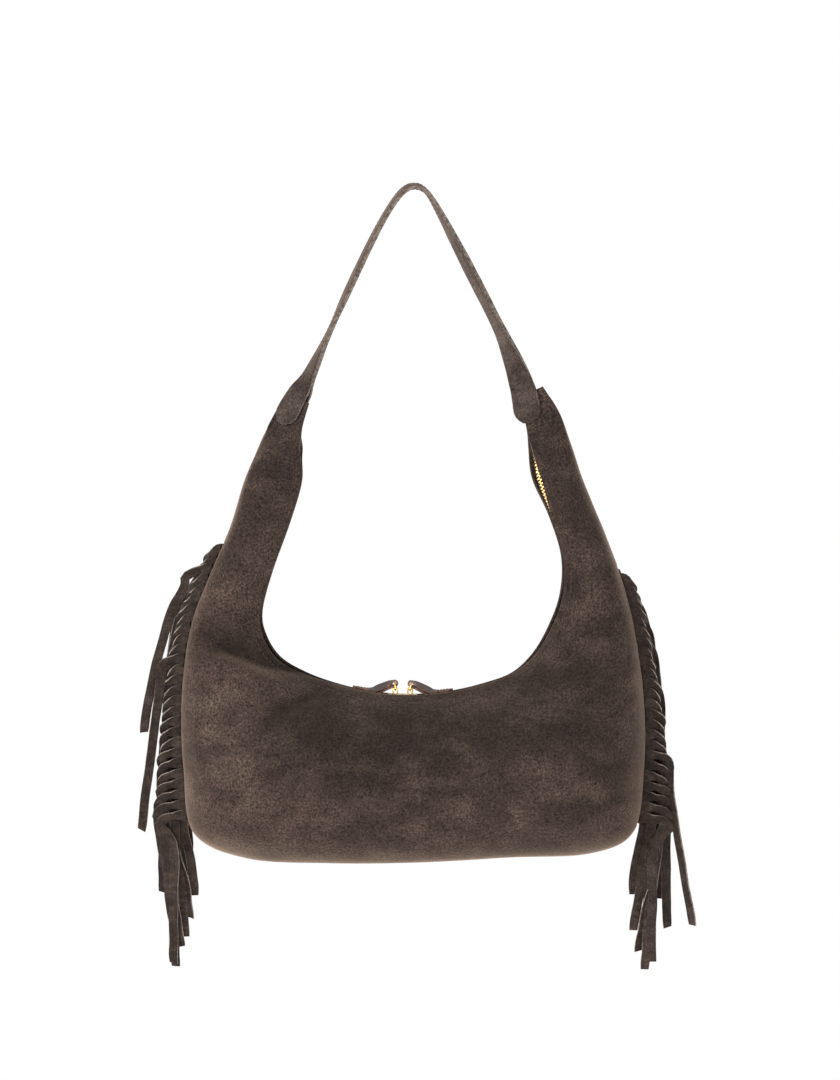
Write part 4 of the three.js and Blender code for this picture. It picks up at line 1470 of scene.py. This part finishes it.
@dataclass
class Slider:
    """One slider with the wire link in its bail and the leather tab folded over the link."""

    hand: Hand
    meeting: float = -7.7
    length: float = 10.0
    gap: float = 0.3
    zip_radius: float = 181.1
    pivot: tuple[float, float] = (0.0, 6.1)
    ring_length: float = 4.5
    ring_lean: float = 8.0
    ring_wire: float = 0.65
    ring_corner: float = 1.1
    casting_rounding: float = 0.22
    tab_width: float = 7.0
    tab_ply: float = 1.5
    tab_length: float = 30.0
    tab_slope: float = 24.0
    tab_roll: float = 38.0
    tooth_height: float = 2.2

    def on_zip(self, x: float, y: float, z: float) -> Vector:
        """World point of a point of the slider, with x away from the other slider and z out of the zipper."""
        side = self.hand.value
        start = math.asin((self.meeting - CRESCENT.arc_centre.x) / self.zip_radius)
        angle = start + side * (self.length / 2 + self.gap) / self.zip_radius
        point = Vector((x * side, y * side, z - self.zip_radius))
        point.rotate(Matrix.Rotation(-angle, 3, "Y"))
        return point + Vector((CRESCENT.arc_centre.x, 0, CRESCENT.arc_centre.z))

    @property
    def ring_bar(self) -> tuple[float, float]:
        """Place of the link's outer bar, in the slider's side view."""
        lean = math.radians(self.ring_lean)
        return (
            self.pivot[0] + self.ring_length * math.sin(lean),
            self.pivot[1] + self.ring_length * math.cos(lean),
        )

    def make_casting(self, frame: dict) -> None:
        """Dresses the slider's casting with rounded edges."""
        word = self.hand.word
        bm = bmesh.new()
        bm.from_mesh(frame["nodes"][f"slider_{word}"].data)
        bmesh.ops.remove_doubles(bm, verts=bm.verts, dist=1e-6)
        bmesh.ops.dissolve_limit(bm, angle_limit=math.radians(1), verts=bm.verts, edges=bm.edges)
        bmesh.ops.scale(bm, vec=Vector((1 / MM,) * 3), verts=bm.verts)
        casting = mesh_piece(bm, f"slider_{word}_casting", [BRASS])
        round_edges(casting, self.casting_rounding, 40)
        put_in_scene(casting, f"slider_{word}", Slot.BRASS, [f"slider_{word}"])

    def make_link(self) -> None:
        """Builds the wire link as a rounded loop."""
        word = self.hand.word
        half = self.tab_width / 2 + self.gap + self.ring_wire
        bar = self.ring_bar
        line = []
        corner = self.ring_corner
        for turn in range(4):
            for step in range(6):
                angle = math.pi / 2 * (turn + step / 5)
                c, s = math.cos(angle), math.sin(angle)
                v = (self.ring_length / 2 - corner) * (1 if turn in (0, 1) else -1) + corner * s
                w = (half - corner) * (1 if turn in (0, 3) else -1) + corner * c
                t = 0.5 + v / self.ring_length
                line.append(self.on_zip(mix(self.pivot[0], bar[0], t), w, mix(self.pivot[1], bar[1], t)))
        link = tube_piece(f"pull_link_{word}_wire", line, self.ring_wire, BRASS, cyclic=True)
        put_in_scene(link, f"pull_{word}", Slot.BRASS, [f"pull_link_{word}"])

    def tab_path(self) -> list[tuple[float, float]]:
        """Side view of the leather, from the lower ply's end round the bar to the upper ply's end."""
        bar = self.ring_bar
        slope = math.tan(math.radians(self.tab_slope))
        ply = self.tab_ply

        def middle(x: float) -> float:
            """Height of the line between the plies."""
            rest = self.tooth_height / 2 + 2 * self.gap + ply + x * x / (2 * self.zip_radius)
            return max(bar[1] - (x - bar[0]) * slope, rest) + 0.25

        xs = [mix(7.5, self.tab_length, i / 22) for i in range(23)]
        lower = [(x, middle(x) - ply / 2) for x in reversed(xs)]
        radius = self.ring_wire + self.gap + ply / 2
        arc = []
        for i in range(15):
            angle = math.radians(mix(270 - self.tab_slope, 90 - self.tab_slope, i / 14))
            arc.append((bar[0] + radius * math.cos(angle), bar[1] + radius * math.sin(angle)))
        upper = [(x, middle(x) + ply / 2) for x in xs]
        return [*lower, *arc, *upper]

    def rolled(self, x: float, across: float, z: float) -> Vector:
        """World point of the leather, which rolls its front edge down between the link and its rest."""
        roll = math.radians(self.tab_roll) * smooth((x - 1.5) / 5) * smooth((21 - x) / 9) * self.hand.value
        return self.on_zip(x, across * math.cos(roll), z + across * math.sin(roll))

    def make_tab(self) -> None:
        """Builds the folded leather tab with its stitching."""
        word = self.hand.word
        path = self.tab_path()

        def place(u: float, v: float) -> Vector:
            """Point of the leather at u across and v along its path."""
            cell = min(int(v * (len(path) - 1)), len(path) - 2)
            t = v * (len(path) - 1) - cell
            x, z = (mix(a, b, t) for a, b in zip(path[cell], path[cell + 1]))
            radius = self.tab_width / 2
            end = max(x - (self.tab_length - radius), 0)
            half = math.sqrt(max(radius**2 - end**2, 1.0))
            return self.rolled(x, (u * 2 - 1) * half, z)

        bm = bmesh.new()
        add_grid(bm, 8, 120, place)
        tab = mesh_piece(bm, f"pull_tab_{word}_leather", [PULL_LEATHER, SEAM_EDGE])
        thicken(tab, self.tab_ply - 0.1, 0, rim_slot=1, bevel=0.18)
        put_in_scene(tab, f"pull_{word}", Slot.LEATHER, [f"pull_tab_{word}"])
        self.make_core(path)
        stitches = bmesh.new()
        top = [(x, z) for x, z in path if x > 6][-22:]
        for edge in (-1, 1):
            line = []
            for (x0, z0), (x1, z1) in zip(top, top[1:]):
                for i in range(12):
                    x, z = mix(x0, x1, i / 12), mix(z0, z1, i / 12)
                    if x < self.tab_length - 3:
                        across = edge * (self.tab_width / 2 - 1.1)
                        line.append(self.rolled(x, across, z + self.tab_ply / 2 + 0.05))
            add_stitch_line(stitches, line, 2.2, 0.2)
        put_in_scene(mesh_piece(stitches, f"pull_stitching_{word}", [THREAD]), f"pull_{word}", Slot.LEATHER)

    def make_core(self, path: Sequence[tuple[float, float]]) -> None:
        """Builds the stiffener that fills the fold of the leather beside the link."""
        bar = self.ring_bar
        upper = path[len(path) // 2 + 6 :]
        lower = path[: len(path) // 2 - 6][::-1]
        inset = self.tab_ply / 2 - 0.15
        start, end = bar[0] + 2.0, self.tab_length * 0.7

        def height(line: Sequence[tuple[float, float]], x: float) -> float:
            """Height of a side of the fold at x."""
            for (x0, z0), (x1, z1) in zip(line, line[1:]):
                if x0 <= x <= x1:
                    return mix(z0, z1, (x - x0) / (x1 - x0))
            return line[-1][1]

        def place(u: float, v: float) -> Vector:
            """Point of the stiffener's outline, swept across the tab."""
            turn = 2 * math.pi * v
            x = mix(start, end, 0.5 - 0.5 * math.cos(turn))
            z = height(upper, x) - inset if v <= 0.5 else height(lower, x) + inset
            return self.rolled(x, (u * 2 - 1) * (self.tab_width / 2 - 0.25), z)

        core = filler_piece(f"pull_core_{self.hand.word}", 2, place, PULL_LEATHER)
        put_in_scene(core, f"pull_{self.hand.word}", Slot.LEATHER)

    def build(self, frame: dict) -> None:
        """Builds the slider and its pull."""
        self.make_casting(frame)
        self.make_link()
        self.make_tab()


@dataclass
class Strap:
    """The shoulder strap: two plies of suede sewn together, with a round tab round each arm's tip."""

    ply: float = 1.5
    width: float = 15.0
    tab_width: float = 19.0
    taper: float = 34.0
    tab_hold: float = 25.0
    tab_close: float = 9.0
    tip_thickness: float = 0.7
    gap: float = 0.3
    stitch_from_edge: float = 2.1
    stitch_pitch: float = 3.2
    thread: float = 0.2
    samples: int = 760
    stitch_samples: int = 3000

    def __post_init__(self) -> None:
        """Measures the strap's line."""
        last = len(STRAP_ROUTE) - 1
        self.line: list[tuple[float, float]] = []
        previous = None
        length = 0.0
        for i in range(self.samples + 1):
            place = last * i / self.samples
            x, z, _ = smooth_row(STRAP_ROUTE, place)
            point = Vector((x, 0, z))
            length += (point - previous).length if previous else 0.0
            previous = point
            self.line.append((length, place))
        self.length = length

    def frame(self, length: float) -> tuple[Vector, Vector, Vector]:
        """Middle, face direction and across direction at a length along the strap."""
        last = len(STRAP_ROUTE) - 1
        index = next((i for i, (value, _) in enumerate(self.line) if value >= length), self.samples)
        index = max(index, 1)
        (l0, p0), (l1, p1) = self.line[index - 1], self.line[index]
        place = mix(p0, p1, min(max((length - l0) / (l1 - l0), 0), 1))
        x, z, turn = smooth_row(STRAP_ROUTE, place)
        ahead = smooth_row(STRAP_ROUTE, min(place + 0.05, last))
        behind = smooth_row(STRAP_ROUTE, max(place - 0.05, 0))
        along = Vector((ahead[0] - behind[0], 0, ahead[1] - behind[1])).normalized()
        angle = math.radians(turn)
        face = Vector((-along.z, 0, along.x)) * math.sin(angle)
        face.y = -math.cos(angle)
        return Vector((x, 0, z)), face, face.cross(along).normalized()

    def half_width(self, from_end: float) -> float:
        """Half of the strap's width at a distance from its nearer end."""
        radius = self.tab_width / 2
        if from_end < radius:
            return max(math.sqrt(max(radius**2 - (radius - from_end) ** 2, 0)), 0.6)
        return mix(radius, self.width / 2, smooth((from_end - radius) / self.taper))

    def point(self, side: int, length: float, across: float, lift: float) -> Vector:
        """Point of a ply: side 1 is the outer one at the top, lift is from its middle."""
        centre, face, width = self.frame(length)
        from_end = min(length, self.length - length)
        held = smooth((from_end - self.tab_hold) / self.tab_close)
        apart = mix(self.tip_thickness + 2 * self.gap, self.gap / 2, held) + self.ply / 2
        return centre + face * side * (apart + lift) + width * across

    def make_ply(self, side: int, word: str) -> None:
        """Builds one ply and its stitching."""

        def place(u: float, v: float) -> Vector:
            """Point of the ply at u across and v along it."""
            eased = mix(v, 0.5 - 0.5 * math.cos(math.pi * v), 0.55)
            length = eased * self.length
            half = self.half_width(min(length, self.length - length))
            across = (u * 2 - 1) * half
            crown = 0.2 - 0.45 * abs(u * 2 - 1) ** 4
            groove = 0.22 * math.exp(-(((half - abs(across) - self.stitch_from_edge) / 0.7) ** 2))
            ripple = 0.18 * noise.noise(Vector((length / 11, across / 9, side * 4.0)))
            return self.point(side, length, across, crown - groove + ripple)

        bm = bmesh.new()
        add_grid(bm, 18, 300, place)
        ply = mesh_piece(bm, f"strap_{word}_suede", [STRAP_SUEDE, STRAP_EDGE])
        thicken(ply, self.ply - 0.15, 0, rim_slot=1, bevel=0.25)
        put_in_scene(ply, "bag", Slot.SUEDE, [f"strap_{word}_ply"])
        stitches = bmesh.new()
        for edge in (-1, 1):
            line = []
            for i in range(self.stitch_samples):
                length = mix(3.0, self.length - 3.0, i / (self.stitch_samples - 1))
                half = self.half_width(min(length, self.length - length)) - self.stitch_from_edge
                line.append(self.point(side, length, edge * half, self.ply / 2 - 0.08))
            add_stitch_line(stitches, line, self.stitch_pitch, self.thread)
        put_in_scene(mesh_piece(stitches, f"strap_{word}_stitching", [THREAD]), "bag", Slot.SUEDE)

    def make_wedge(self, hand: Hand) -> None:
        """Builds the skived end of the arm, which fills the plies where they come together."""

        def place(u: float, v: float) -> Vector:
            """Point of the wedge's outline, swept across the strap."""
            from_end = mix(16.0, self.tab_hold + self.tab_close + 2, 0.5 - 0.5 * math.cos(2 * math.pi * v))
            length = from_end if hand is Hand.LEFT else self.length - from_end
            side = 1 if v <= 0.5 else -1
            across = (u * 2 - 1) * (self.half_width(from_end) - 0.5)
            return self.point(side, length, across, -self.ply / 2 + 0.12)

        wedge = filler_piece(f"arm_end_{hand.word}", 4, place, CUT_EDGE)
        put_in_scene(wedge, "bag", Slot.SUEDE)

    def build(self) -> None:
        """Builds the strap."""
        for hand in Hand:
            self.make_wedge(hand)
        self.make_ply(1, "outer")
        self.make_ply(-1, "inner")


@dataclass
class Studio:
    """Pale floor, soft lamps and the camera."""

    camera_distance: float = 2.4
    frame_height: float = 0.756
    centre: tuple[float, float] = (0.00455, -0.246)
    sensor: float = 24.0
    floor_drop: float = 0.42
    floor_half: float = 1500
    lamps: tuple[tuple[str, tuple[float, float, float], float, float], ...] = (
        ("key_box", (-1.9, -1.5, 0.15), 0.9, 54),
        ("fill_box", (1.8, -1.5, -0.2), 1.2, 17),
        ("top_box", (0.1, 0.3, 1.4), 1.2, 14),
        ("low_box", (-0.2, -1.4, -0.86), 0.9, 20),
        ("left_rim_box", (-1.7, 1.2, -0.3), 1.2, 34),
        ("right_rim_box", (1.7, 1.2, -0.3), 1.2, 30),
    )

    def make_floor(self) -> None:
        """Builds the pale floor well below the bag."""
        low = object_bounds()[0].z
        bm = bmesh.new()
        level = Matrix.Translation((0, 0, (low - self.floor_drop) / MM))
        bmesh.ops.create_grid(bm, x_segments=1, y_segments=1, size=self.floor_half, matrix=level)
        floor = mesh_piece(bm, "studio_floor", [FloorPaint()])
        bpy.context.scene.collection.objects.link(floor)
        floor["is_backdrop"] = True

    def make_lamp(self, name: str, place: Vector, target: Vector, size: float, power: float) -> None:
        """Adds one square soft box."""
        lamp = bpy.data.lights.new(name, "AREA")
        lamp.size = size
        lamp.energy = power
        holder = bpy.data.objects.new(name, lamp)
        holder.location = place
        holder.rotation_euler = (target - place).to_track_quat("-Z", "Y").to_euler()
        holder.visible_camera = False
        bpy.context.scene.collection.objects.link(holder)

    def make_world(self) -> None:
        """White surroundings for the camera and for reflections, and soft light for the rest."""
        world = bpy.data.worlds.new("studio")
        bpy.context.scene.world = world
        world.use_nodes = True
        tree = world.node_tree
        tree.nodes.clear()
        path = add_node(tree, "ShaderNodeLightPath")
        seen = path.outputs["Is Camera Ray"]
        for ray in ("Is Transmission Ray", "Is Glossy Ray"):
            either = {0: seen, 1: path.outputs[ray]}
            seen = add_node(tree, "ShaderNodeMath", {"operation": "MAXIMUM"}, either).outputs[0]
        strength = add_node(tree, "ShaderNodeMapRange", {}, {"Value": seen, "To Min": 0.3, "To Max": 1.0})
        back = add_node(
            tree, "ShaderNodeBackground", {}, {"Color": (1, 1, 1, 1), "Strength": strength.outputs[0]}
        )
        add_node(tree, "ShaderNodeOutputWorld", {}, {"Surface": back.outputs[0]})

    def make_camera(self) -> None:
        """Places the camera straight in front, at the height of the picture's middle."""
        camera = bpy.data.cameras.new("camera")
        camera.sensor_fit = "VERTICAL"
        camera.sensor_height = self.sensor
        camera.lens = self.sensor / 2 / (self.frame_height / 2 / self.camera_distance)
        holder = bpy.data.objects.new("camera", camera)
        holder.location = (self.centre[0], -self.camera_distance, self.centre[1])
        holder.rotation_euler = (math.pi / 2, 0, 0)
        bpy.context.scene.collection.objects.link(holder)
        bpy.context.scene.camera = holder

    def build(self) -> None:
        """Builds the studio."""
        target = Vector((0, 0, -0.33))
        self.make_camera()
        self.make_floor()
        for name, place, size, power in self.lamps:
            self.make_lamp(name, Vector(place), target, size, power)
        self.make_world()
        view = bpy.context.scene.view_settings
        view.view_transform = "Standard"


@dataclass(frozen=True)
class FloorPaint(Finish):
    """Matt pale paint, nearly white to the camera, which keeps a soft shadow."""

    name: str = "studio floor paint"
    colour: str = "#f4f3f1"

    def build(self, tree: bpy.types.NodeTree) -> bpy.types.Node:
        """Diffuse paint mixed with white for what the camera sees."""
        path = add_node(tree, "ShaderNodeLightPath")
        seen = add_node(
            tree, "ShaderNodeMath", {"operation": "MULTIPLY"}, {0: path.outputs["Is Camera Ray"], 1: 0.75}
        )
        paint = add_node(tree, "ShaderNodeBsdfDiffuse", {}, {"Color": linear(self.colour)})
        white = add_node(tree, "ShaderNodeEmission", {}, {"Color": (1, 1, 1, 1), "Strength": 1.0})
        return add_node(
            tree,
            "ShaderNodeMixShader",
            {},
            {0: seen.outputs[0], 1: paint.outputs[0], 2: white.outputs[0]},
        )


BODY = BagBody()
# Strips that hang by themselves, by number from the top: hang, depth, drift and turn.
LEFT_LOOSE = {2: (14, 1, 15, 0.1), 11: (15.5, -0.5, 15.5, 0.15)}
RIGHT_LOOSE = {17: (17, 1.5, 20, 0.8)}


def main() -> None:
    """Builds the bag in order."""
    logging.basicConfig(level=logging.INFO, format="%(name)s: %(message)s")
    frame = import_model()
    Studio().build()
    BODY.build()
    Fringe(Hand.LEFT, LEFT_LOOSE).build()
    Fringe(Hand.RIGHT, RIGHT_LOOSE).build()
    Zipper().build()
    for hand in Hand:
        Slider(hand).build(frame)
    Strap().build()


if __name__ == "__main__":
    main()
